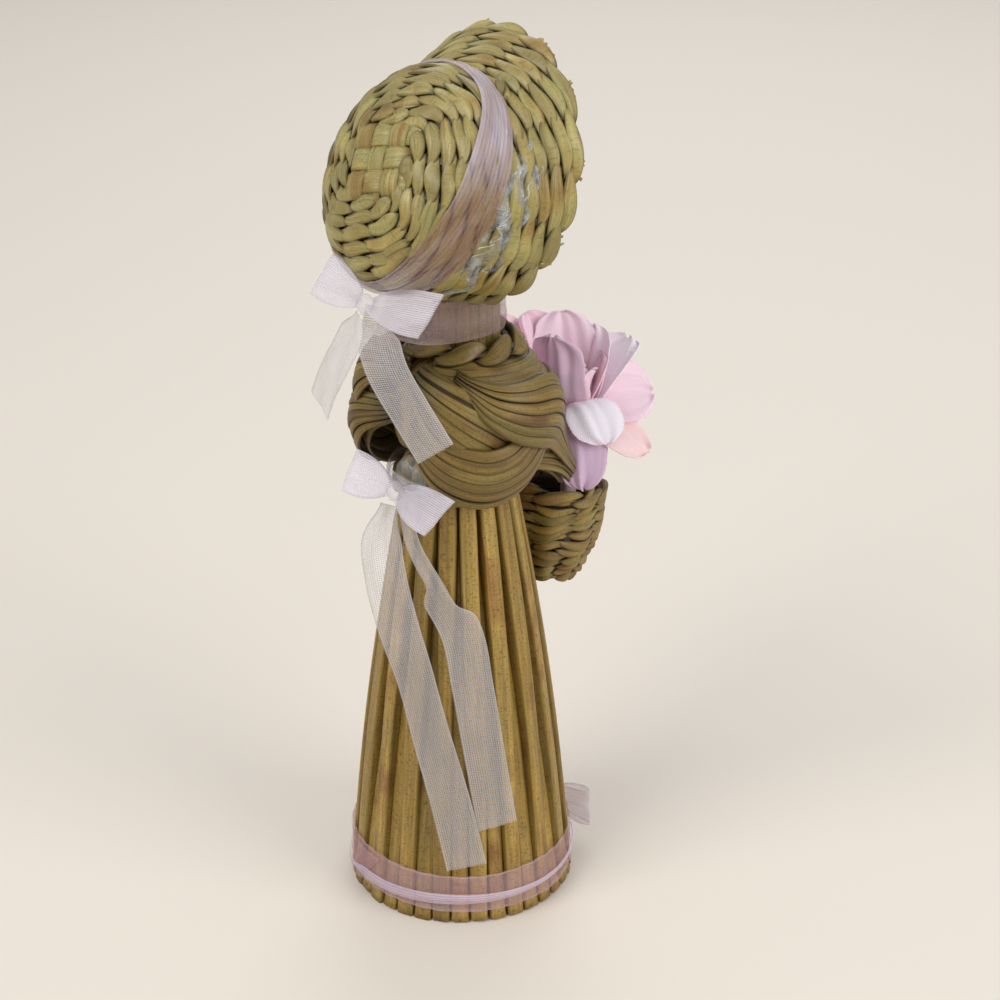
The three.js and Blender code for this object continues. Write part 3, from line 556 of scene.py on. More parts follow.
def collar_strands(rng):
    """Two strands twisted round the neck in a level ring, leaning out, over a ring in painted shade that
    fills it.
    """
    turn = np.linspace(0, 360, 180, endpoint=False)
    line = around(turn, COLLAR_RADIUS, COLLAR_HEIGHT) + [0, -NECK_LEAN, 0]
    out = unit(around(turn, 1, 0.9))
    bands = twined_row(line, out, turn * COLLAR_STITCHES / 360, COLLAR_STRAND_WIDTH, rng,
                       slant=1.1, depth=0.55, thickness=1.1, wrap=COLLAR_STITCHES // 2)
    core_line = around(turn, COLLAR_RADIUS - COLLAR_CORE_INSET, COLLAR_HEIGHT) + [0, -NECK_LEAN, 0]
    core = skin(core_line, around(turn, 1, 0), *COLLAR_CORE_SIZE, loop=True)
    return [*bands, (core, "ring", 0.2, 0.8)]


def ease(value, low, high):
    """Runs from 0 to 1 as a value goes from low to high, slowly at both ends."""
    share = np.clip((value - low) / (high - low), 0, 1)
    return share * share * (3 - 2 * share)


def yoke_strips(side, rng):
    """Strips laid one below the other round a shoulder, from near the back to the front.

    Their radius grows evenly from strip to strip, their height falls by a power of it, and each slopes down
    a little towards the front and narrows at both ends.
    """
    bands = []
    t = np.linspace(0, 1, 44)
    for k in range(YOKE_STRIPS):
        share = (k + 0.5) / YOKE_STRIPS
        azimuth = side * (16 + 150 * t)
        radius = YOKE_INNER + (YOKE_OUTER - YOKE_INNER) * share - 2.2 * (1 - ease(t, 0, 0.2)) * share
        radius = radius + 0.2 * wave(5 * t, rng)
        height = YOKE_TOP - YOKE_DROP * share**1.5 - 1.4 * t + 0.25 * wave(4 * t, rng)
        path = around(azimuth, radius, height) + [0, -NECK_LEAN, 0]
        across = around(azimuth, YOKE_OUTER - YOKE_INNER, -YOKE_DROP * 1.5 * share**0.5 - 1)
        narrowing = 0.35 + 0.65 * np.sin(np.pi * np.clip(t, 0.04, 0.96)) ** 0.4
        width = YOKE_STRIP_WIDTH * narrowing * rng.uniform(0.92, 1.1)
        grid = skin(path, across, width, YOKE_STRIP_THICKNESS, 10, 0.62)
        bands.append((grid, "tube", rng.uniform(0, 1), 0.5 * edge_shade(10)[None]))
    return bands


arm_finish = rush_finish("rush_arm", (138, 110, 46), (123, 106, 49), (104, 74, 32),
                         speckles=0.6, furrow=0.7, gloss=0.38)
make_piece("rush_collar", collar_strands(body_rng), arm_finish, ["collar_wrap"])
for label, side in (("right", -1), ("left", 1)):
    make_piece("rush_yoke_" + label, yoke_strips(side, body_rng), arm_finish, ["yoke_" + label])

# Arms
# Each arm is a loose plait of three broad strands, and each strand is a flat bundle of split rush that fans
# out where it lies on top. The plait starts behind the shoulder, goes round the side of the body and comes
# down in front to the basket's handle. The left arm stands a little higher and fuller behind.
ARM_SEAT = 14.4
ARM_MIDDLE = 88.0
ARM_ROUNDING = 9.0
STRAND_THICKNESS = 2.0
STRAND_STRIPS = 6
STRIP_THICKNESS = 0.62
LEFT_HUMP_AT = 36
LEFT_HUMP_SPREAD = 24
LEFT_HUMP = [0, 2.6, 1.8, 1.0]
# azimuth from straight behind, height, lift off the seat and width
ARM_STRANDS = [
    [[10, 96, -3.4, 3.5], [28, 94.6, -0.9, 6.5], [44, 92, 0.2, 10], [62, 88.5, 0.3, 12],
     [82, 84.8, -0.5, 11], [102, 82.5, -1.2, 8.5], [122, 82, -0.8, 7], [143, 79, 1.2, 6], [163, 73, 4.6, 4]],
    [[50, 97, -2.4, 1.6], [61, 95.8, -0.2, 3], [74, 93.8, 2, 6.5], [92, 91.8, 2.6, 10.2],
     [112, 90.2, 2.5, 12], [130, 86.8, 2, 10.5], [148, 80.5, 2.6, 7.5], [163, 74.5, 5.2, 4.5]],
    [[12, 88.6, -3.4, 3.5], [29, 86, -0.4, 6], [48, 82.6, 1.3, 10], [68, 81, 1.9, 11.5],
     [88, 82, 1.6, 11], [106, 85.2, 0.7, 9.5], [124, 87.5, -0.4, 8], [143, 84, 0.8, 6.5], [163, 76, 4.6, 4]],
]


def smooth_path(points, count):
    """An even walk along the rounded curve through some points.

    Each span is a cubic that leaves and arrives in directions set by its neighbours, weighed by the square
    root of the spans' lengths.
    """
    p = np.asarray(points, float)
    p = np.concatenate([[2 * p[0] - p[1]], p, [2 * p[-1] - p[-2]]])
    d = np.sqrt(np.linalg.norm(np.diff(p, axis=0), axis=1))[:, None]
    step = np.diff(p, axis=0)
    turn = (step / d)[:-1] - (p[2:] - p[:-2]) / (d[:-1] + d[1:]) + (step / d)[1:]
    leave, arrive = turn[:-1] * d[1:-1], turn[1:] * d[1:-1]
    t = np.linspace(0, 1, 60)[None, :, None]
    a, b = p[1:-2, None], p[2:-1, None]
    leave, arrive = leave[:, None], arrive[:, None]
    walk = a + leave * t + (3 * (b - a) - 2 * leave - arrive) * t**2 + (2 * (a - b) + leave + arrive) * t**3
    walk = walk.reshape(-1, p.shape[1])
    far = np.concatenate([[0], np.cumsum(np.linalg.norm(np.diff(walk, axis=0), axis=1))])
    even = np.linspace(0, far[-1], count)
    return np.stack([np.interp(even, far, walk[:, i]) for i in range(p.shape[1])], -1)


def arm_strand(side, stations, rng):
    """One strand of a plait: flat strips side by side, a second layer under them and a filling, both in
    painted shade.

    The strand's path is drawn on the unrolled side of the body. Each strip runs at its share of the width
    to one side of it, and is laid round the body at the seat's radius plus the strand's lift and its own
    domed thickness, less the square of its distance from the arm's middle height.
    """
    azimuth, height, lift, width = stations.T
    walk = smooth_path(np.stack([ARM_SEAT * np.radians(azimuth), height, lift, width], -1), 110)
    flat, lift, width = walk[:, :2], walk[:, 2], walk[:, 3]
    way = unit(np.gradient(flat, axis=0))
    beside = np.stack([-way[:, 1], way[:, 0]], -1)
    s = np.linspace(0, 1, len(walk))

    def laid(place, rise=0.0):
        spot = flat + beside * (width / 2 * place)[:, None]
        rounding = ((spot[:, 1] - ARM_MIDDLE) / ARM_ROUNDING) ** 2
        dome = STRAND_THICKNESS * (0.5 - 0.5 * place**2)
        radius = ARM_SEAT + lift + dome + rise - 1.6 * rounding * (1 - ease(s, 0.6, 0.8))
        return around(side * np.degrees(spot[:, 0] / ARM_SEAT), radius, spot[:, 1])

    across = laid(s * 0 + 0.2) - laid(s * 0 - 0.2)
    # The filling is wholly darkened with painted shade, to show between the strips.
    shade_filling = skin(laid(s * 0, -1.15), across, width * 0.86, STRAND_THICKNESS * 0.45, 10, 0.9)
    bands = [(shade_filling, "tube", 0.1, 0.92)]
    # Painted shade along each strip's edges, deeper where the strand lies low under another.
    edge = 0.85 * edge_shade(10)
    deep = np.clip(-0.25 * lift, 0, 0.5)[:, None]
    for k in range(STRAND_STRIPS):
        place = (k + 0.5) * 2 / STRAND_STRIPS - 1 + 0.02 * wave(3.5 * s, rng)
        rise = rng.uniform(-0.14, 0.14) + 0.12 * wave(5 * s, rng)
        lane = laid(place, rise)
        tilt = laid(place + 0.1, rise + rng.uniform(-0.03, 0.03)) - lane
        grid = skin(lane, tilt, width / STRAND_STRIPS * rng.uniform(1.02, 1.14), STRIP_THICKNESS, 10, 0.6)
        bands.append((grid, "tube", rng.uniform(0, 1), np.clip(edge[None] + deep, 0, 1)))
        # The second layer under the strips is darkened with painted shade.
        inner = skin(laid(place, -1.7), tilt, width / STRAND_STRIPS * 0.98, 0.5, 8, 0.65)
        bands.append((inner, "tube", rng.uniform(0, 0.6), 0.35))
    return bands


arm_rng = np.random.default_rng(23)
for label, side in (("right", -1), ("left", 1)):
    for n, strand in enumerate(ARM_STRANDS):
        stations = np.array(strand, float)
        hump = np.exp(-(((stations[:, :1] - LEFT_HUMP_AT) / LEFT_HUMP_SPREAD) ** 2)) * (side > 0)
        stations = stations + hump * LEFT_HUMP
        node = f"arm_{label}_strand_{n + 1}"
        make_piece("rush_" + node, arm_strand(side, stations, arm_rng), arm_finish, [node])

# Head
# A ball of rush covered with pale flat strips that run from the top of the head down to the neck. It has
# no face.
HEAD_CENTRE = np.array([0, 2.2, 123.05])
HEAD_RADII = np.array([12.5, 8.0, 12.75])
HEAD_STRIPS = 26
HEAD_MEAN_RADIUS = 10.5
HEAD_STRIP_WIDTH = 1.15 * 2 * math.pi * HEAD_MEAN_RADIUS / HEAD_STRIPS


def on_ball(polar, turn):
    """Points on a ball of radius one, from the angle down from its top and the turn about it."""
    low = np.sin(polar)
    return np.stack(np.broadcast_arrays(low * np.sin(turn), low * np.cos(turn), np.cos(polar)), -1)


def head_strips(rng):
    """Strips along the meridians of an oval ball, over a ball in painted shade, drawn in at the top and the
    neck.
    """
    polar = np.linspace(0.09, np.pi - 0.09, 44)
    turn = np.arange(24) * 2 * np.pi / 24
    bands = [(HEAD_CENTRE + on_ball(polar[:, None], turn) * (HEAD_RADII - 0.9), "tube", 0.3, 0.8)]
    for k in range(HEAD_STRIPS):
        azimuth = 2 * np.pi * k / HEAD_STRIPS + 0.05 * wave(2 * polar, rng)
        across = np.stack([np.cos(azimuth), -np.sin(azimuth), azimuth * 0], -1)
        path = HEAD_CENTRE + on_ball(polar, azimuth) * (HEAD_RADII - 0.45 + rng.uniform(-0.15, 0.15))
        width = 0.5 + HEAD_STRIP_WIDTH * np.sin(polar)
        bands.append((skin(path, across, width, 0.8, 8, 0.7), "tube", rng.uniform(0, 1), 0.05))
    return bands


straw_finish = rush_finish("rush_straw", (168, 150, 86), (152, 142, 84), (138, 112, 56),
                           speckles=0.4, furrow=0.6, gloss=0.32)
head_rng = np.random.default_rng(31)
make_piece("rush_head", head_strips(head_rng), straw_finish, ["head"])

# Crown of the bonnet
# It starts as a small square of flat strips woven over and under. Their ends become spokes, and pairs of
# strands are twined round these, row on row, out to the widest part of the crown. A dark sheet of painted
# shade stands for the depth behind the weave.
CROWN_CENTRE = np.array([0, 7.1, 127.3])
CROWN_TILT = math.radians(30)
CROWN_POLE = np.array([0, math.cos(CROWN_TILT), math.sin(CROWN_TILT)])
CROWN_UP = np.array([0, -math.sin(CROWN_TILT), math.cos(CROWN_TILT)])
CROWN_RADIUS = 17.5
CROWN_DEPTH = 8.7
CROWN_SQUARENESS = 0.75
CROWN_SPOKES = 12
CROWN_ROWS = 7
CROWN_FIRST_ROW = 6.9
CROWN_ROW_PITCH = 2.33
SQUARE_STRIP = 3.6
SQUARE_TURN = math.radians(16)
SPOKE_WIDTH = 1.6
SPOKE_THICKNESS = 0.3

dome_latitude = np.linspace(np.pi / 2, 0, 600)
dome_radius = CROWN_RADIUS * np.cos(dome_latitude) ** CROWN_SQUARENESS
dome_height = CROWN_DEPTH * np.sin(dome_latitude)
dome_reach = np.concatenate([[0], np.cumsum(np.hypot(np.diff(dome_radius), np.diff(dome_height)))])


def on_dome(reach, angle):
    """Points of the crown's middle surface and the directions out of it.

    Reach is the distance over the dome from its pole, and the angle turns from its upper edge to the left.
    """
    radius = np.interp(reach, dome_reach, dome_radius)[..., None]
    height = np.interp(reach, dome_reach, dome_height)[..., None]
    widen = np.interp(reach, dome_reach, np.gradient(dome_radius, dome_reach))[..., None]
    fall = np.interp(reach, dome_reach, np.gradient(dome_height, dome_reach))[..., None]
    spoke = np.sin(angle)[..., None] * np.array([1.0, 0, 0]) + np.cos(angle)[..., None] * CROWN_UP
    return CROWN_CENTRE + radius * spoke + height * CROWN_POLE, unit(widen * CROWN_POLE - fall * spoke)


def spoke(path, across, rng):
    """A thin flat spoke that the rows are twined round, wholly in painted shade so that it shows dark between
    them.
    """
    return skin(path, across, SPOKE_WIDTH, SPOKE_THICKNESS, 8, 0.7), "tube", rng.uniform(0, 1), 1.0


def crown_rows(rng):
    """The crown's twined rows, squarish near the start and round further out, its sheet of painted shade and
    its spokes.

    A row's reach is its distance from the pole divided by the (|cos|^n + |sin|^n)^(1/n) of a squared circle.
    """
    bands = []
    angle = np.linspace(0, 2 * np.pi, CROWN_SPOKES * 18, endpoint=False)
    for k in range(CROWN_ROWS):
        square = 2 + 2.4 * max(0, 1 - k / 4)
        corner = (np.abs(np.cos(angle)) ** square + np.abs(np.sin(angle)) ** square) ** (1 / square)
        wobble = 0.12 * wave(5 * angle, rng)
        line, out = on_dome((CROWN_FIRST_ROW + CROWN_ROW_PITCH * k) / corner + wobble, angle)
        stitch = CROWN_SPOKES * angle / (2 * np.pi) + 0.1 * wave(3 * angle, rng) + (k % 2)
        width = CROWN_ROW_PITCH * (1.0 + 0.08 * wave(4 * angle, rng))
        bands += twined_row(line, out, stitch, width, rng, wrap=CROWN_SPOKES // 2)
    # A dark sheet just under the rows, wholly in painted shade, shows through the gaps between stitches.
    reach = np.linspace(4.0, dome_reach[-1] - 0.2, 22)
    reach, deep = np.concatenate([reach, reach[::-1]]), np.repeat([-0.2, -0.5], 22)
    point, out = on_dome(np.broadcast_to(reach, (len(angle), 44)), np.repeat(angle[:, None], 44, 1))
    bands.append((point + out * deep[:, None], "ring", 0.0, 1.0))
    for k in range(CROWN_SPOKES):
        reach = np.linspace(4.2, dome_reach[-1] - 0.4, 24)
        path, out = on_dome(reach, np.full(24, 2 * np.pi * (k + 0.5) / CROWN_SPOKES))
        bands.append(spoke(path, np.cross(along_path(path), out), rng))
    return bands


def start_square(rng):
    """Three flat strips each way, woven over and under, with ends that dip beneath the first row.

    A strip's height is a wave of one half turn for each strip that it crosses.
    """
    bands = []
    for upright in (0, 1):
        for k in (-1, 0, 1):
            run = np.linspace(-2.05, 2.05, 40) * SQUARE_STRIP
            beside = np.full(40, k * SQUARE_STRIP)
            x, y = (beside, run) if upright else (run, beside)
            point, out = on_dome(np.hypot(x, y), np.arctan2(x, y) + SQUARE_TURN)
            over = np.cos(np.pi * (run / SQUARE_STRIP + k)) * (1 if upright else -1)
            lift = 0.45 + 0.42 * over - 1.1 * ease(np.abs(run) / SQUARE_STRIP, 1.4, 2.05)
            path = point + out * lift[:, None]
            grid = skin(path, np.cross(along_path(path), out), SQUARE_STRIP * 0.97, 0.7, 10, 0.6)
            shade = np.clip(0.2 - 0.4 * over, 0, 0.7)[:, None]
            bands.append((grid, "tube", rng.uniform(0.8, 1.2), shade))
    return bands


crown_rng = np.random.default_rng(43)
crown = crown_rows(crown_rng) + start_square(crown_rng)
make_piece("rush_bonnet_crown", crown, straw_finish, ["bonnet_crown"])

# Brim of the bonnet
# The twining goes on past the crown on more spokes and flares forward round the head, with a dark sheet of
# painted shade behind it too. It is left open under the chin, and frayed ends stand out of its rim here and
# there.
RIM_CENTRE = np.array([0, -5.8, 127.3])
RIM_RADIUS = 22.45
RIM_TILT = math.radians(14.5)
RIM_UP = np.array([0, -math.sin(RIM_TILT), math.cos(RIM_TILT)])
JOINT_RADIUS = 18.6
BRIM_WALL = 2.2
BRIM_ROWS = 6
BRIM_SPOKES = 16
CHIN_GAP = 8.3
SHADE_SHEET_TURN = 2.62
# where the tufts of frayed ends are, as an angle round the rim, and how many ends each has
RIM_TUFTS = ((-0.42, 9), (-0.78, 7), (-2.05, 8), (1.2, 6), (2.3, 6), (0.3, 3), (-1.4, 3))


def on_brim(angle, share):
    """Points half way through the brim, straight from the crown's edge at share 0 to the rim at share 1.

    With each come the direction out of the brim and the length of the line it lies on.
    """
    angle, share = np.broadcast_arrays(angle, share)

    def place(turn):
        aside = np.sin(turn)[..., None] * np.array([1.0, 0, 0])
        joint = CROWN_CENTRE - 0.3 * CROWN_POLE
        joint = joint + (JOINT_RADIUS - BRIM_WALL / 2) * (aside + np.cos(turn)[..., None] * CROWN_UP)
        rim = RIM_CENTRE + (RIM_RADIUS - BRIM_WALL / 2) * (aside + np.cos(turn)[..., None] * RIM_UP)
        return joint + (rim - joint) * share[..., None], rim - joint

    point, across = place(angle)
    onwards = place(angle + 0.001)[0] - place(angle - 0.001)[0]
    return point, unit(np.cross(across, onwards)), np.linalg.norm(across, axis=-1)


def brim_rows(rng):
    """Twined rows round the brim, its sheet of painted shade and its spokes; what meets the neck stops short
    of it.
    """
    bands = []
    for k in range(BRIM_ROWS):
        share = (k + 0.5) / BRIM_ROWS
        under = np.linspace(0, 1.2, 400)
        near = on_brim(np.pi - under, share)[0]
        inside = np.hypot(near[:, 0], near[:, 1] + NECK_LEAN) < CHIN_GAP
        gap = under[inside].max() if inside.any() else 0.0
        angle = np.linspace(-np.pi + gap, np.pi - gap, BRIM_SPOKES * 15, endpoint=gap > 0)
        line, out, length = on_brim(angle, share)
        line = line + out * (0.12 * wave(4 * angle, rng))[:, None]
        stitch = BRIM_SPOKES * angle / (2 * np.pi) + 0.12 * wave(3 * angle, rng) + (k % 2)
        width = length / BRIM_ROWS * 1.04
        slant = 0.6 if k == BRIM_ROWS - 1 else 1.0
        bands += twined_row(line, out, stitch, width, rng, gap == 0, slant, wrap=BRIM_SPOKES // 2)
    # A dark sheet just under the rows, wholly in painted shade, shows through the gaps between stitches.
    share = np.linspace(0.02, 0.9, 16)
    share, deep = np.concatenate([share, share[::-1]]), np.repeat([-0.1, -0.4], 16)
    angle = np.linspace(-SHADE_SHEET_TURN, SHADE_SHEET_TURN, 150)
    point, out, _ = on_brim(angle[:, None], share[None])
    bands.append((point + out * deep[:, None], "tube", 0.0, 1.0))
    for k in range(BRIM_SPOKES):
        angle = 2 * np.pi * (k + 0.5) / BRIM_SPOKES
        share = np.linspace(0, 0.92, 16)
        path, out, _ = on_brim(np.full(16, angle), share)
        if np.hypot(path[:, 0], path[:, 1] + NECK_LEAN).min() > CHIN_GAP:
            bands.append(spoke(path, np.cross(along_path(path), out), rng))
    return bands


def rim_ends(rng):
    """Frayed ends of spokes in a few tufts on the rim, each a thin strip from under the last row, and a knot.

    The knot is a short thick strip bent over the row next to the crown, where the ribbon is drawn through.
    """
    bands = []
    for tuft, count in RIM_TUFTS:
        for angle in tuft + rng.normal(0, 0.05, count):
            share = np.linspace(0.9, rng.uniform(1.01, 1.06), 6)
            path, out, _ = on_brim(np.full(6, angle) + rng.uniform(-0.6, 0.6) * (share - 0.9), share)
            path = path + out * (rng.uniform(-0.5, 0.5) + rng.uniform(-2, 3) * (share - 0.9))[:, None]
            across = np.cross(along_path(path), out)
            grid = skin(path, across, rng.uniform(0.25, 0.6), 0.22, 6, 0.7)
            bands.append((grid, "tube", rng.uniform(0.8, 1), 0.0))
    t = np.linspace(-1, 1, 14)
    path, out, _ = on_brim(math.radians(-28) + 0.07 * t, 0.13 + 0.05 * t)
    path = path + out * (0.5 + 0.9 * np.sqrt(1.02 - t * t))[:, None]
    grid = skin(path, np.cross(along_path(path), out), 1.5 * np.sqrt(1.05 - t * t), 1.0, 10)
    bands.append((grid, "tube", 0.0, 0.35))
    return bands


brim_rng = np.random.default_rng(47)
brim = brim_rows(brim_rng) + rim_ends(brim_rng)
make_piece("rush_bonnet_brim", brim, straw_finish, ["bonnet_brim"])

# Bonnet ribbon
# A sheer ribbon laid in the hollow where crown and brim meet, and glued to the rush. It is crushed into soft
# lengthwise folds, narrow at the top of the head and at its full width on the doll's right and at the nape.
RIBBON_WIDTH = 6.9
RIBBON_THICKNESS = 0.12
THREAD_PITCH = 0.33


def sheer_finish(name, colour, deep, low, high):
    """Sheer woven ribbon: fine threads both ways with see-through gaps between, and a silky gloss.

    The cover is the mean of a wave along and a wave across, made uneven by noise drawn out along the threads.
    Slow noise clouds it, and the woven edge, marked by shade, is closer. Tone runs from colour to deep.
    """
    f = Finish(name)
    lengths = f.lengths()
    edge = f.attribute("shade")
    u = f.node("SeparateXYZ", 0, {0: lengths})
    v = f.node("SeparateXYZ", 1, {0: lengths})
    slanted = f.sum("ADD", u, f.sum("MULTIPLY", v, 0.35))
    weft = f.sum("SINE", f.sum("MULTIPLY", slanted, 2 * math.pi / THREAD_PITCH))
    warp = f.sum("SINE", f.sum("MULTIPLY", v, 2 * math.pi / THREAD_PITCH * 0.9))
    threads = f.sum("MULTIPLY", f.sum("ADD", weft, warp), 0.5)
    streaks = f.noise(f.drawn_out(lengths, 0.1, 5.0))
    clouds = f.noise(f.drawn_out(lengths, 0.12, 0.4), 1.0, 3.0)
    cover = f.spread(threads, -1.0, 1.0, low, high)
    cover = f.sum("ADD", cover, f.spread(streaks, 0.3, 0.7, -0.05, 0.05))
    cover = f.sum("ADD", cover, f.spread(clouds, 0.3, 0.7, -0.05, 0.05))
    cover = f.sum("ADD", cover, f.sum("MULTIPLY", edge, 0.16))
    cover = f.node("Clamp", 0, {0: cover, 1: 0.02, 2: 1.0})
    tint = f.sum("ADD", f.spread(clouds, 0.3, 0.7, -0.2, 0.2), f.attribute("tone"))
    shine = f.blend(f.node("Clamp", 0, {0: tint}), paint(*colour), paint(*deep))
    rough = f.spread(threads, -1.0, 1.0, 0.55, 0.4)
    bump = f.bump(threads, 0.3, 0.08)
    return f.finish(base_color=shine, alpha=cover, roughness=rough, sheen_weight=0.2, normal=bump)


def selvage(columns):
    """How near each column of a ribbon is to its woven edge: one on the edge, falling off fast."""
    return np.abs(np.linspace(-1, 1, columns)) ** 14


def bonnet_ribbon():
    """A band over the dome's foot; its folds are waves across it that wander as it goes round.

    Its width is a smooth step in the angle: narrow from the top round the doll's left to the nape, wide on
    the right, and the folds draw closer where it narrows.
    """
    turn = np.linspace(0, 2 * np.pi, 300, endpoint=False)[:, None]
    v = np.linspace(0, 1, 27)[None]
    right = ease(turn, 2.8, 4.1) * (1 - ease(turn, 4.9, 6.15))
    width = 2.9 + 3.1 * right + 0.3 * np.sin(3 * turn + 1)
    far = dome_reach[-1] + 0.3
    reach = far - width * (1 - v)
    point, out = on_dome(np.minimum(reach, dome_reach[-1]), np.broadcast_to(turn, reach.shape))
    point = point - CROWN_POLE * np.maximum(reach - dome_reach[-1], 0)[..., None]
    wander = 0.35 * np.sin(2 * turn + 0.6) + 0.2 * np.sin(5 * turn)
    folds = np.sin(2 * np.pi * (1.7 * v + wander)) + 0.55 * np.sin(2 * np.pi * (3.4 * v - wander) + 2)
    lift = 0.95 + 0.2 * ease(right, 0, 0.3) + 0.2 * folds * np.sin(np.pi * (0.12 + 0.76 * v))
    tone = 0.25 + 0.7 * ease(turn, 3.4, 4.2) * (1 - ease(turn, 4.5, 5.2)) + 0.12 * folds
    closer = np.clip(selvage(27)[None] + 0.9 * ease(turn, 4.7, 5.3) + 0.9 * (1 - ease(turn, 0, 1)), 0, 1)
    return [(point + out * lift[..., None], "hoop", tone, closer)]


def ribbon_piece(name, bands, material, node, body="doll"):
    """A piece of ribbon, with the thickness of its cloth."""
    make_piece("sheer_" + name, bands, material, [node], body, RIBBON_THICKNESS)


mauve_ribbon = sheer_finish("ribbon_mauve", (214, 202, 214), (156, 116, 98), low=0.1, high=0.38)
ribbon_piece("bonnet_ribbon", bonnet_ribbon(), mauve_ribbon, "bonnet_ribbon")

# Glue on the bonnet
# Clear glue holds the ribbon and the brim on the doll's right. It has set in glossy lumps in the hollows
# of the weave, with a few fine strings drawn off it.
GLUE_THICKNESS = 0.1
GLUE_STRINGS = 7
GLUE_STRING_SIZE = 0.13


def lumps(x, y, rng, count=6):
    """A smooth random height over a patch: a sum of waves in different directions, about 0 and within 1."""
    heading = rng.uniform(0, 2 * np.pi, count)
    closeness, phase = rng.uniform(0.6, 1.7, count), rng.uniform(0, 6, count)
    way = x[..., None] * np.cos(heading) + y[..., None] * np.sin(heading)
    return np.sin(way * closeness + phase).mean(-1) * 1.6


def brim_glue(rng):
    """A lumpy film over part of the brim that sinks into the weave at its edges, and strings above it."""
    v, u = np.meshgrid(np.linspace(0, 1, 60), np.linspace(0, 1, 44), indexing="ij")
    point, out, _ = on_brim(np.radians(-62 - 92 * v), -0.02 + 0.5 * u)
    edge = np.minimum(np.minimum(u, 1 - u) * 2.4, np.minimum(v, 1 - v) * 3.4)
    height = 0.5 * np.clip(edge, 0, 1) + 0.35 + 0.6 * lumps(34 * v, 9 * u, rng)
    bands = [(point + out * np.clip(height, -0.4, 1.5)[..., None], "sheet", 0.5, 0.0)]
    t = np.linspace(0, 1, 26)
    for _ in range(GLUE_STRINGS):
        angle = np.radians(rng.uniform(-118, -88) + rng.uniform(-16, 16) * t)
        share = rng.uniform(0.12, 0.3) + rng.uniform(-0.2, 0.2) * t + 0.05 * wave(9 * t, rng)
        path, out, _ = on_brim(angle, share)
        path = path + out * (1.05 + 0.6 * np.sin(np.pi * t))[:, None]
        bands.append((skin(path, out, GLUE_STRING_SIZE, GLUE_STRING_SIZE, 6), "tube", 0.9, 0.0))
    return bands


def glue_finish():
    """Set clear glue: smooth, glossy and see-through, milkier in patches."""
    f = Finish("clear_glue")
    place = f.node("TexCoord", "Object", {})
    clouds = f.noise(place, 420.0, 3.0, 0.6)
    milk = f.spread(clouds, 0.35, 0.7)
    colour = f.blend(milk, paint(150, 152, 140), paint(214, 218, 220))
    cover = f.spread(clouds, 0.4, 0.72, 0.12, 0.42)
    bump = f.bump(f.noise(place, 900.0, 2.0), 0.4, 0.3)
    return f.finish(base_color=colour, alpha=cover, roughness=0.05, normal=bump)


clear_glue = glue_finish()
glue_rng = np.random.default_rng(59)
make_piece("glue_on_brim", brim_glue(glue_rng), clear_glue, [], thickness=GLUE_THICKNESS)

# Basket
# A little basket twined of rush, with a dark sheet of painted shade behind the weave. It leans against the
# front of the skirt and has a flat foot, a thicker row round its rim and a rope handle of two twisted
# strands, which the hands hold.
BASKET_FOOT = np.array([0, -19.38, 52])
BASKET_TILT = math.radians(10)
BASKET_RADIUS = 8.2
BASKET_HEIGHT = 15.5
BASKET_WALL = 1.5
BASKET_ROWS = 11
BASKET_STITCHES = 8
HANDLE_SPAN = 7.45
HANDLE_FOOT = 15.4
HANDLE_RISE = 9.2
HANDLE_TURNS = 6
HANDLE_STRAND = (1.15, 0.95)


def in_basket(points):
    """Points about the basket's own foot, tipped forward with it."""
    x, y, z = np.moveaxis(points, -1, 0)
    turned_y = y * math.cos(BASKET_TILT) - z * math.sin(BASKET_TILT)
    turned_z = y * math.sin(BASKET_TILT) + z * math.cos(BASKET_TILT)
    return np.stack([x, turned_y, turned_z], -1)


def basket_wall(share):
    """Radius of the middle of the wall at a share of its height: part of a sine wave."""
    return BASKET_RADIUS * (0.42 + 0.59 * np.sin((0.12 + 0.72 * share) * math.pi * 0.78)) - BASKET_WALL / 2


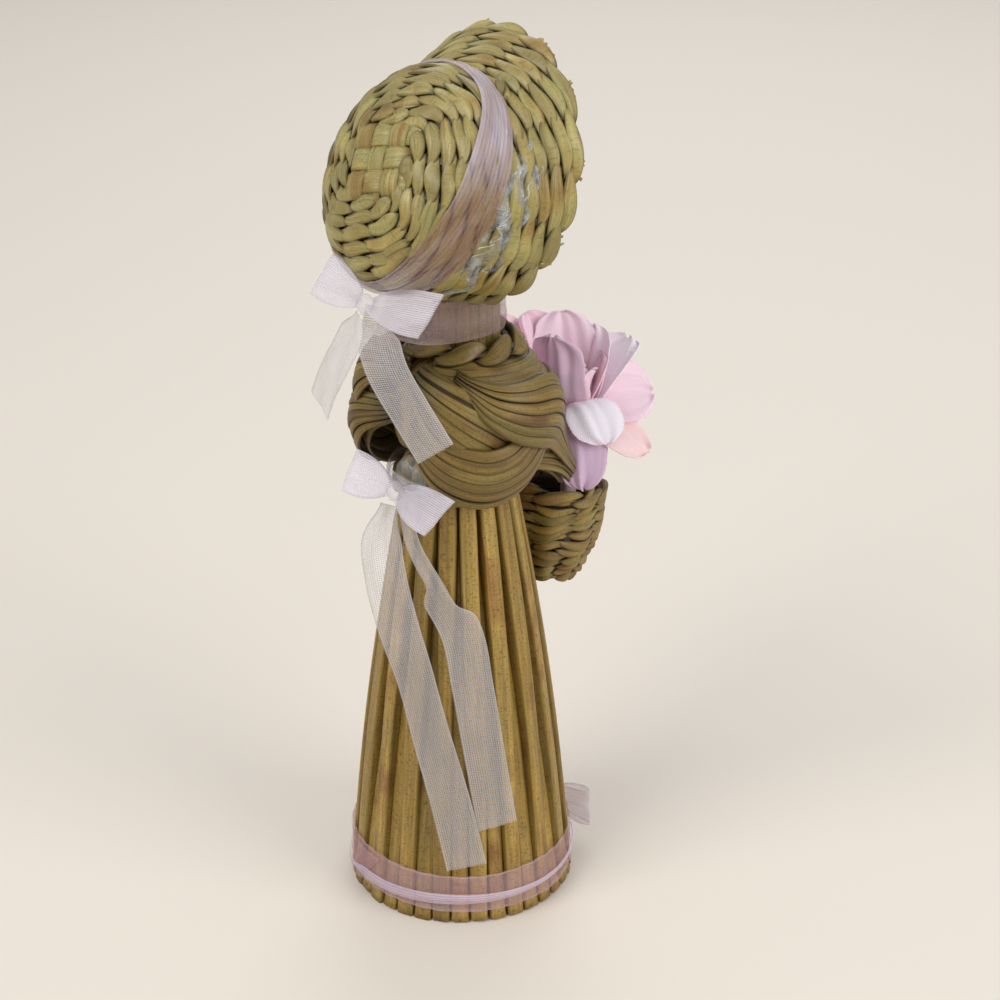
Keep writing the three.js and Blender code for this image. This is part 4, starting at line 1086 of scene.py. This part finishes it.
def basket_rows(rng):
    """Twined rows up the wall, one round the rim and three across the foot, and the sheet of painted shade
    and the spokes.
    """
    bands = []
    angle = np.linspace(0, 360, BASKET_STITCHES * 20, endpoint=False)
    turn = np.radians(angle)
    bumps = 0.22 * np.cos(turn * BASKET_STITCHES)

    def row(radius, height, out, width, depth=0.4, thickness=0.68):
        line = in_basket(around(angle, radius, height)) + BASKET_FOOT
        stitch = BASKET_STITCHES * angle / 360 + 0.12 * wave(turn * 3, rng) + len(bands) / 2
        wrap = BASKET_STITCHES // 2
        bands.extend(twined_row(line, in_basket(out), stitch, width, rng, True, 1.1, depth, thickness, wrap))

    pitch = BASKET_HEIGHT / BASKET_ROWS
    for k in range(BASKET_ROWS):
        share = (k + 0.5) / BASKET_ROWS
        wobble = 0.25 * wave(turn * 3, rng)
        height = BASKET_HEIGHT * share + wobble + 0.4 * np.sin(turn * BASKET_STITCHES / 2 + k)
        row(basket_wall(share) + bumps, height, around(angle, 1, 0), pitch * 1.16)
    row(BASKET_RADIUS - BASKET_WALL / 2, BASKET_HEIGHT, around(angle, 1, 0), 2.1, 0.5, 0.95)
    for radius in (1.0, 2.5, 4.0):
        row(radius, 0.75, around(angle, 0, -1), 1.7, 0.3, 0.7)
    # A dark sheet inside the wall, wholly in painted shade, shows through the gaps of the weave.
    share = np.linspace(0.02, 0.98, 18)
    radius = np.concatenate([basket_wall(share) - 0.2, basket_wall(share)[::-1] - 0.5])
    shade_sheet = around(angle[:, None], radius, BASKET_HEIGHT * np.concatenate([share, share[::-1]]))
    bands.append((in_basket(shade_sheet) + BASKET_FOOT, "ring", 0.0, 1.0))
    share = np.linspace(0.02, 1, 18)
    for k in range(BASKET_STITCHES):
        at = (k + 0.5) * 360 / BASKET_STITCHES
        path = in_basket(around(at, basket_wall(share), BASKET_HEIGHT * share)) + BASKET_FOOT
        bands.append(spoke(path, around(at + 90, 1.0, 0.0), rng))
    return bands


def basket_handle(rng):
    """Two strands that turn about each other along a half oval from one side of the rim to the other."""
    t = np.linspace(0, 1, 90)
    rise = HANDLE_FOOT + HANDLE_RISE * np.sin(np.pi * t)
    arch = np.stack([-HANDLE_SPAN * np.cos(np.pi * t), 0 * t, rise], -1)
    aside = np.broadcast_to([0.0, 1.0, 0.0], arch.shape)
    out = np.cross(along_path(arch), aside)
    bands = []
    for strand in (0, 1):
        a = 2 * np.pi * HANDLE_TURNS * t + np.pi * strand
        path = arch + aside * (0.55 * np.cos(a))[:, None] + out * (0.45 * np.sin(a))[:, None]
        grid = skin(path, aside, *HANDLE_STRAND, 10, 0.9)
        bands.append((in_basket(grid) + BASKET_FOOT, "tube", rng.uniform(0.3, 1), 0.1))
    return bands


basket_finish = rush_finish("rush_basket", (156, 126, 62), (132, 116, 60), (112, 78, 36),
                            speckles=0.4, furrow=0.6, gloss=0.38)
basket_rng = np.random.default_rng(61)
make_piece("rush_basket", basket_rows(basket_rng), basket_finish, ["basket"])
make_piece("rush_basket_handle", basket_handle(basket_rng), basket_finish, ["basket_handle"])

# Flower
# A big soft flower of pink cloth in the basket: eight cut petals, cupped, pleated and frilled, round a bud
# of smaller ones, on a wrapped stalk that stands in the basket. One petal hangs down over the rim.
BUD_CENTRE = np.array([1.0, -25.2, 79.8])
BUD_RADIUS = 3.2
BUD_PETALS = 7
STALK_LENGTH = 19
STALK_RADIUS = 1.25
PETAL_LENGTH = 13
PETAL_WIDTH = 13
PETAL_THICKNESS = 0.18
PETAL_WIDEST = 0.56
PETAL_BEND = 0.75
# turn about the bud from straight ahead, lean from upright at the base and at the tip, shares of the
# length and width, tone, and the twist that turns its face aside
PETALS = [
    (262, 22, 138, 1.12, 0.9, 0.0, 0),
    (204, 42, 4, 1.35, 0.8, 0.85, 0),
    (142, 42, 22, 1.55, 0.95, 0.3, 0),
    (64, 30, 6, 1.3, 0.98, 0.2, 0),
    (2, 48, 50, 1.25, 1.0, 0.05, 0),
    (340, 74, 86, 1.1, 0.95, 0.2, 42),
    (306, 88, 128, 1.12, 1.15, 0.54, 0),
    (242, 70, 172, 1.35, 0.72, 0.95, 0),
]
# three more behind the bud, with their length and width in millimetres
BACK_PETALS = [
    (112, 36, 14, 18, 12, 0.3, 0),
    (18, 34, 18, 15, 11, 0.15, 0),
    (352, 88, 108, 13.5, 12, 0.4, 45),
]


def petal(turn, base, tip, length, width, tone, twist, rng, start=0.3, frill=1.0):
    """One petal: an egg-shaped blade that leaves the bud at one lean and ends at another.

    Its middle line is the running sum of its lean. Its half width is that of two half ovals joined at the
    widest place, roughened where its cut edge frays. It is bent across round a cylinder, inwards where it
    stands and outwards where it droops, waves and pleats grow towards its edge, and it is twisted about
    its middle line.
    """
    share = np.linspace(0.02, 0.99, 64)
    u, v = np.meshgrid(share, np.linspace(-1, 1, 49), indexing="ij")
    a = math.radians(turn)
    ahead = np.array([math.sin(a), -math.cos(a), 0])
    side = np.array([math.cos(a), math.sin(a), 0])
    lean = np.radians(base + (tip - base) * ease(share, 0, 0.75)) + 0.3 * frill * ease(share, 0.7, 1)
    step = length / len(share)
    reach = np.outer(np.cumsum(np.sin(lean)) * step, ahead)
    rise = np.outer(np.cumsum(np.cos(lean)) * step, UP)
    middle = BUD_CENTRE + ahead * (BUD_RADIUS * 0.3 + start) + reach + rise
    inwards = np.outer(-np.cos(lean), ahead) + np.outer(np.sin(lean), UP)
    round_off = np.where(u < PETAL_WIDEST, (PETAL_WIDEST - u) / 0.62, (u - PETAL_WIDEST) / 0.435)
    half = width / 2 * np.sqrt(np.maximum(1 - np.abs(round_off) ** 2.8, 0.0))
    frays = rng.standard_normal((len(share), 2)) * 0.016
    scallops = 0.03 * wave(9 * u, rng)
    half = half * (1 + scallops + np.where(v < 0, frays[:, :1], frays[:, 1:]))
    cup = 1.0 if tip < 100 else -0.6
    bend_radius = PETAL_BEND * width
    bend = half * v / bend_radius
    beside = bend_radius * np.sin(bend)
    waves = wave(2.0 * np.pi * v + 2 * u, rng) + 0.5 * wave(3.7 * np.pi * v, rng)
    pleats = wave(5 * np.pi * v, rng) * u * (1.2 - u)
    lift = cup * bend_radius * (1 - np.cos(bend)) + frill * (0.42 * waves * u**1.5 + 0.22 * pleats)
    twisted = (math.radians(twist) * ease(share, 0, 0.5))[:, None]
    across = side * np.cos(twisted) + inwards * np.sin(twisted)
    facing = inwards * np.cos(twisted) - side * np.sin(twisted)
    grid = middle[:, None] + across[:, None] * beside[..., None] + facing[:, None] * lift[..., None]
    return grid, "sheet", tone, u


def flower_bud(rng):
    """The stalk, a rounded bud on it, small upright petals in a spiral round it and three larger behind."""
    z = np.concatenate([np.linspace(-STALK_LENGTH, -BUD_RADIUS, 16), np.linspace(-2.9, 2.9, 14)])
    bulb = np.sqrt(np.maximum(BUD_RADIUS**2 - z[16:] ** 2, 0.2)) * 0.8
    radius = np.concatenate([np.full(16, STALK_RADIUS), bulb])
    bands = [(around(np.arange(16) * 22.5, radius[:, None], z[:, None]) + BUD_CENTRE, "tube", 0.6, 0.2)]
    for k in range(BUD_PETALS):
        turn, tip, tone = 20 + 137.5 * k, 2 + 4 * k, 0.14 + 0.04 * k
        bands.append(petal(turn, 46, tip, 8 + 0.7 * k, 7 + 0.6 * k, tone, 0, rng, -0.6, 0.7))
    for blade in BACK_PETALS:
        bands.append(petal(*blade, rng))
    return bands


def petal_finish():
    """Soft pink cloth: a fine even weave, paler towards the edge, with faint creases from base to tip.

    Tone runs from near white through pink and peach to mauve; shade is the share of the way to the tip.
    """
    f = Finish("petal_cloth")
    lengths = f.lengths()
    tone = f.attribute("tone")
    outwards = f.attribute("shade")
    u = f.node("SeparateXYZ", 0, {0: lengths})
    v = f.node("SeparateXYZ", 1, {0: lengths})
    weft = f.sum("SINE", f.sum("MULTIPLY", u, 15.0))
    warp = f.sum("SINE", f.sum("MULTIPLY", v, 15.0))
    weave = f.sum("MULTIPLY", weft, warp)
    creases = f.noise(f.drawn_out(lengths, 0.12, 1.3))
    colour = f.blend(f.spread(tone, 0.0, 0.4), paint(253, 240, 252), paint(255, 200, 214))
    colour = f.blend(f.spread(tone, 0.4, 0.6), colour, paint(255, 220, 212))
    colour = f.blend(f.spread(tone, 0.6, 0.9), colour, paint(208, 176, 204))
    colour = f.blend(f.spread(outwards, 0.5, 0.0, 0.0, 0.35), colour, paint(255, 184, 198))
    light = f.sum("MULTIPLY", f.spread(creases, 0.3, 0.7, 0.96, 1.02), f.spread(weave, -1.0, 1.0, 0.9, 1.05))
    colour = f.lit(colour, light)
    height = f.sum("ADD", f.sum("MULTIPLY", weave, 0.3), f.sum("MULTIPLY", creases, 0.5))
    rough = f.spread(weave, -1.0, 1.0, 0.8, 0.62)
    f.shader.inputs["Subsurface Weight"].default_value = 0.35
    f.shader.inputs["Subsurface Scale"].default_value = 0.001
    f.shader.inputs["Subsurface Radius"].default_value = (1.0, 0.85, 0.9)
    return f.finish(base_color=colour, roughness=rough, sheen_weight=0.35, normal=f.bump(height, 0.4, 0.3))


pink_cloth = petal_finish()
flower_rng = np.random.default_rng(71)
make_piece("cloth_flower_bud", flower_bud(flower_rng), pink_cloth, ["flower_bud"],
           thickness=PETAL_THICKNESS)
for n, (turn, base, tip, length, width, tone, twist) in enumerate(PETALS):
    blade = petal(turn, base, tip, PETAL_LENGTH * length, PETAL_WIDTH * width, tone, twist, flower_rng)
    cloth = make_piece(f"cloth_petal_{n + 1}", [blade], pink_cloth, [f"flower_petal_{n + 1}"],
                       thickness=PETAL_THICKNESS)

# Waist ribbon and bow
# A narrow sheer ribbon tied round the waist over the binding, with a flat bow at the back. Its two
# long tails fall down the skirt and swing from the knot.
WAIST_RIBBON_RADIUS = 11.55
WAIST_RIBBON_HEIGHT = 77.0
WAIST_KNOT = np.array([-0.5, 13.5, 76.7])
KNOT_SIZE = (3.8, 2.8, 3.8)
LOOP_LENGTH = 10
LOOP_START = 2.0
TAIL_TOP = 73.5
TAIL_STEPS = 90
WAIST_BAND_HALF = 1.2
WAIST_BOW_FACING = (-0.55, 0.68, 0.48)
WAIST_BOW_FULLNESS = 0.8
# each loop's direction, its share of the full length and the slant of its fold
WAIST_LOOPS = {"left": ((0.72, 0.5, 0.34), 0.62, 0.1), "right": ((-0.95, 0.0, -0.06), 0.92, -0.3)}
# each tail's share of the way down, azimuth from straight behind and lift off the skirt; then the height of
# its end, its twist at the top, the length over which it opens and the length that stays narrow
WAIST_TAILS = {
    "left": ([[0, 7, 3.4], [0.08, 2, 5], [0.18, -6, 5], [0.3, -14, 3.8], [0.45, -24, 1.9],
              [0.6, -33, 0.9], [0.8, -45, 0.8], [1, -53.5, 0.8]], 11.5, 40, 7, 0),
    "right": ([[0, -9, 3], [0.1, -16, 2.3], [0.23, -35, 1.3], [0.36, -52, 0.9], [0.55, -59, 0.8],
               [0.78, -65, 0.8], [1, -70, 0.8]], 18.5, 0, 3, 14),
}


def ribbon_strip(path, across, width, rng, crush=0.1, tone=0.5, columns=15, other_width=None):
    """A ribbon along a path, as wide as it is told, with shallow lengthwise waves that change along it."""
    v = np.linspace(-1, 1, columns)[None]
    along = along_path(path)
    wide = unit(across - (across * along).sum(-1, keepdims=True) * along)
    face = np.cross(along, wide)
    s = np.linspace(0, 1, len(path))[:, None]
    waves = wave(2.2 * v + 3 * s, rng) + 0.6 * wave(5 * v - 5 * s, rng)
    crush = np.broadcast_to(crush, len(path))[:, None]
    half = np.broadcast_to(width, len(path))[:, None] / 2
    if other_width is not None:
        half = np.where(v < 0, half, other_width[:, None] / 2)
    grid = path[:, None] + wide[:, None] * (half * v)[..., None] + face[:, None] * (crush * waves)[..., None]
    return grid, "sheet", tone, selvage(columns)[None]


def bow_loop(centre, out, facing, share, rng, fullness, slant):
    """A flattened loop of ribbon: it leaves the knot, swells a little, folds over at its tip and comes back.

    Reach follows a raised cosine of the way round, plus a share of the distance across where the fold lies
    on a slant, and the two layers stand apart by a power of a sine.
    """
    a = np.linspace(0, 2 * np.pi, 80)
    axis = unit(np.asarray(out, float))
    swell = np.asarray(facing, float)
    swell = unit(swell - (swell @ axis) * axis)
    reach = LOOP_START * 0.6 + (share * LOOP_LENGTH + 0.9) * (1 - np.cos(a)) / 2
    spread = 0.15 + fullness * np.sin(a / 2) ** 1.2
    closing = np.minimum(1, np.abs(np.sin(a)) + 0.25 * np.abs(np.cos(a / 2)))
    path = centre + np.outer(reach, axis) + np.outer(np.where(a < np.pi, 1, -1) * spread * closing, swell)
    middle = np.sin(a / 2)
    width = RIBBON_WIDTH * (0.36 + 0.68 * ease(middle, 0, 0.9))
    across = np.cross(axis, swell)
    tone = rng.uniform(0, 0.3)
    grid, kind, tone, shade = ribbon_strip(path, across, width, rng, 0.3 * (1 - middle) + 0.08, tone)
    sideways = (grid - path[:, None]) @ across
    grid = grid + axis * (slant * sideways * middle[:, None] ** 4)[..., None]
    return grid, kind, tone, shade


def bow_knot(centre, rng):
    """A small tight knot: a rounded bundle across the bow, creased where the ribbon is drawn through it."""
    x = np.linspace(-1, 1, 26)[:, None]
    angle = np.arange(30)[None] * 2 * np.pi / 30
    swell = np.sqrt(np.maximum(1 - x**2, 0.04))
    crease = 1 - 0.12 * np.abs(wave(2.5 * angle + 2.2 * x, rng)) ** 0.6
    y = KNOT_SIZE[1] / 2 * swell * crease * np.cos(angle)
    z = KNOT_SIZE[2] / 2 * swell * crease * np.sin(angle)
    grid = np.stack(np.broadcast_arrays(x * KNOT_SIZE[0] / 2, y, z), -1)
    return grid + centre, "tube", 0.2, 0.4


def ribbon_tail(path, facing, rng, tone, opening, narrow=0.0):
    """A free end: gathered at the knot, at its full width after a short way, and cut straight across.

    It may stay twisted and narrow for a way first, and then opens on a slant, one edge before the other.
    """
    far = np.linalg.norm(path - path[0], axis=1)
    early = 0.42 + 0.58 * ease(far, narrow * 0.9, narrow * 0.9 + opening)
    late = 0.42 + 0.58 * ease(far, narrow * 1.25, narrow * 1.25 + opening)
    across = np.cross(along_path(path), facing)
    gather = 0.35 * (1 - ease(far, narrow, narrow + opening)) + 0.1
    return ribbon_strip(path, across, RIBBON_WIDTH * late, rng, gather, tone, 15, RIBBON_WIDTH * early)


def tie_bow(label, centre, facing, fullness, loops, material):
    """Ties a knot and its two loops at a place, with the loops' faces turned one way."""
    knot = bow_knot(centre, ribbon_rng)
    make_piece(f"sheer_{label}_knot", [knot], material, [f"{label}_bow_knot"])
    for side, (out, share, slant) in loops.items():
        loop = bow_loop(centre, out, facing, share, ribbon_rng, fullness, slant)
        ribbon_piece(f"{label}_loop_{side}", [loop], material, f"{label}_bow_loop_{side}")


def waist_tail(stations, end, twist, opening, narrow, rng):
    """A tail that hangs clear of the waist, turned by its twist, and comes to lie flat on the skirt."""
    share, azimuth, lift = np.array(stations, float).T
    height = TAIL_TOP + (end - TAIL_TOP) * share
    path = smooth_path(around(azimuth, skirt_surface(height) + lift, height), TAIL_STEPS)
    untwisted = ease(np.linspace(0, 1, TAIL_STEPS), 0.2, 0.55)
    turned = np.degrees(np.arctan2(path[:, 0], path[:, 1])) - twist * (1 - untwisted)
    return ribbon_tail(path, around(turned, 1, 0), rng, 0.85, opening, narrow)


def waist_band():
    """The band round the waist: its height is crushed into a few lengthwise folds."""
    azimuth = np.linspace(0, 360, 160, endpoint=False)[:, None]
    v = np.linspace(-1, 1, 15)[None]
    turn = np.radians(azimuth)
    folds = np.sin(4.5 * v + 1.2 * np.sin(2 * turn) + 0.6 * np.sin(5 * turn + 1))
    radius = WAIST_RIBBON_RADIUS + 0.28 * folds
    height = WAIST_RIBBON_HEIGHT + WAIST_BAND_HALF * v
    return [(around(azimuth, radius, height), "hoop", 0.35, selvage(15)[None])]


pale_ribbon = sheer_finish("ribbon_pale", (236, 228, 238), (192, 186, 178), low=0.08, high=0.52)
ribbon_rng = np.random.default_rng(83)
ribbon_piece("waist_ribbon", waist_band(), pale_ribbon, "waist_ribbon")
tie_bow("waist", WAIST_KNOT, WAIST_BOW_FACING, WAIST_BOW_FULLNESS, WAIST_LOOPS, pale_ribbon)
for label, hang in WAIST_TAILS.items():
    name = "waist_tail_" + label
    ribbon_piece(name, [waist_tail(*hang, ribbon_rng)], pale_ribbon, name, name + "_body")

# Glue at the waist
# A blob of the same clear glue, which has set against the back of the body, between the waist's bow and
# the right arm.
WAIST_GLUE_CENTRE = around(-13, 12.2, 80.2)
WAIST_GLUE_RADII = [2.6, 1.8, 3.0]


def waist_glue(rng):
    """A lumpy ball, flattened against the body."""
    ball = on_ball(np.linspace(0.05, np.pi - 0.05, 26)[:, None], np.arange(32) * np.pi / 16)
    size = 1 + 0.22 * lumps(4 * ball[..., 0] + 2 * ball[..., 2], 4 * ball[..., 1], rng)
    return [(WAIST_GLUE_CENTRE + ball * size[..., None] * WAIST_GLUE_RADII, "tube", 0.5, 0.0)]


make_piece("glue_at_waist", waist_glue(glue_rng), clear_glue, [])

# Neck ribbon and bow
# The same ribbon goes round the front of the neck and is tied in a bow at the nape, under the back of the
# crown. Its tails hang down the doll's back and swing from the knot.
NAPE_KNOT = np.array([-1.2, 18.9, 110.0])
NECK_RIBBON_RADIUS = 6.15
NECK_RIBBON_HEIGHT = 104.975
NECK_RIBBON_LEFT = [[2.2, 17.0, 105.0], [5.27, 9.8, 102.4]]
NECK_RIBBON_RIGHT = [[-2.6, 16.9, 108.7], [-5.27, 9.8, 105.8]]
NECK_TAIL_BACK = 19.6
NECK_TAIL_TOP = 106.79
NECK_TAIL_DROP = 19
NECK_TAIL_OPENING = 4.0
NECK_BOW_FACING = (-0.35, 0.85, 0.4)
NECK_BOW_FULLNESS = 0.7
NECK_LOOPS = {"left": ((0.78, 0.3, 0.4), 0.66, 0.0), "right": ((-0.92, -0.22, 0.06), 1.06, -0.45)}
# each tail's share of the way down, then sideways and backwards from the knot; then the way it faces
NECK_TAILS = {
    "left": ([[-0.06, -0.2, -0.4], [0.3, 2.4, 1.8], [0.55, 4.6, 2.8], [0.78, 6.4, 3.2]], (0.2, 0.97, 0)),
    "right": ([[-0.03, -3.0, -0.9], [0.3, -6.4, -0.4], [0.62, -10.8, -1.5], [0.94, -14.8, -3.2]],
              (-0.6, 0.8, 0)),
}


def neck_band(rng):
    """The band from the nape forward on both sides and round the front of the neck, drawn into folds."""
    front = around(np.array([96, 138, 180]), NECK_RIBBON_RADIUS, NECK_RIBBON_HEIGHT) + [0, -NECK_LEAN, 0]
    left = np.concatenate([NECK_RIBBON_LEFT, front])
    right = np.concatenate([NECK_RIBBON_RIGHT, front[:-1] * [-1, 1, 1]])
    path = smooth_path(np.concatenate([left, right[::-1]]), 120)
    return ribbon_strip(path, UP, RIBBON_WIDTH, rng, 0.18, 0.7, 19)


def neck_tail(stations, facing, rng):
    """A tail that falls from the nape, out over the doll's back."""
    share, x, y = np.array(stations, float).T
    path = smooth_path(np.stack([x, NECK_TAIL_BACK + y, NECK_TAIL_TOP - NECK_TAIL_DROP * share], -1), 60)
    return ribbon_tail(path, facing, rng, 0.75, NECK_TAIL_OPENING)


ribbon_piece("neck_ribbon", [neck_band(ribbon_rng)], mauve_ribbon, "neck_ribbon")
tie_bow("neck", NAPE_KNOT, NECK_BOW_FACING, NECK_BOW_FULLNESS, NECK_LOOPS, pale_ribbon)
for label, hang in NECK_TAILS.items():
    name = "neck_tail_" + label
    ribbon_piece(name, [neck_tail(*hang, ribbon_rng)], pale_ribbon, name, name + "_body")

# Hem ribbon and bow
# A sheer pink ribbon glued round the foot of the skirt. Along the back its edge is folded over in a paler
# strip, its end laps over on the left with a slanting cut, and a small bow sits in front.
HEM_LOW = 2.6
HEM_KNOT = np.array([0, -20.3, 5.775])
HEM_BOW_FACING = (0, -1, 0)
HEM_BOW_FULLNESS = 0.8
HEM_LOOPS = {"left": ((0.95, -0.12, 0.1), 0.8, 0.0), "right": ((-0.95, -0.12, 0.1), 0.8, 0.0)}


def hem_band():
    """The band round the stems, following their swell, the narrow fold along the back and the lapped end."""
    azimuth = np.linspace(0, 360, 200, endpoint=False)[:, None]
    v = np.linspace(0, 1, 15)[None]
    turn = np.radians(azimuth)
    height = HEM_LOW + RIBBON_WIDTH * v + 0.25 * np.sin(2 * turn + 1)
    ripple = 0.12 * np.sin(5 * v + 3 * np.sin(2 * turn)) + 0.1 * np.cos(turn * STEM_PAIRS * 2)
    band = around(azimuth, skirt_surface(height) + 0.22 + ripple, height)
    azimuth = np.linspace(24, -150, 120)[:, None]
    share = np.linspace(0, 1, 120)[:, None]
    ends = ease(share, 0, 0.1) * (1 - 0.75 * ease(share, 0.35, 0.8))
    v = np.linspace(0, 1, 9)[None]
    height = HEM_LOW + 0.6 + 2.9 * share**1.5 + (0.4 + 1.5 * ends) * v + 0.45 * np.sin(4.5 * share + 0.6)
    bulge = 0.3 + 0.3 * np.sin(np.pi * v)
    fold = around(azimuth, skirt_surface(height) + 0.3 + bulge, height)
    v = np.linspace(0, 1, 11)[None]
    azimuth = np.linspace(95, 12, 60)[:, None] - 16 * v
    height = HEM_LOW - 0.1 + RIBBON_WIDTH * v * np.linspace(1, 0.92, 60)[:, None]
    lap = around(azimuth, skirt_surface(height) + 0.5 + 0.1 * np.sin(6 * v + azimuth / 20), height)
    return [
        (band, "hoop", 0.6, selvage(15)[None]),
        (fold, "sheet", -0.3, 0.9),
        (lap, "sheet", 1.0, selvage(11)[None]),
    ]


pink_ribbon = sheer_finish("ribbon_pink", (228, 210, 226), (206, 148, 152), low=0.04, high=0.3)
ribbon_piece("hem_ribbon", hem_band(), pink_ribbon, "hem_ribbon")
tie_bow("hem", HEM_KNOT, HEM_BOW_FACING, HEM_BOW_FULLNESS, HEM_LOOPS, pink_ribbon)
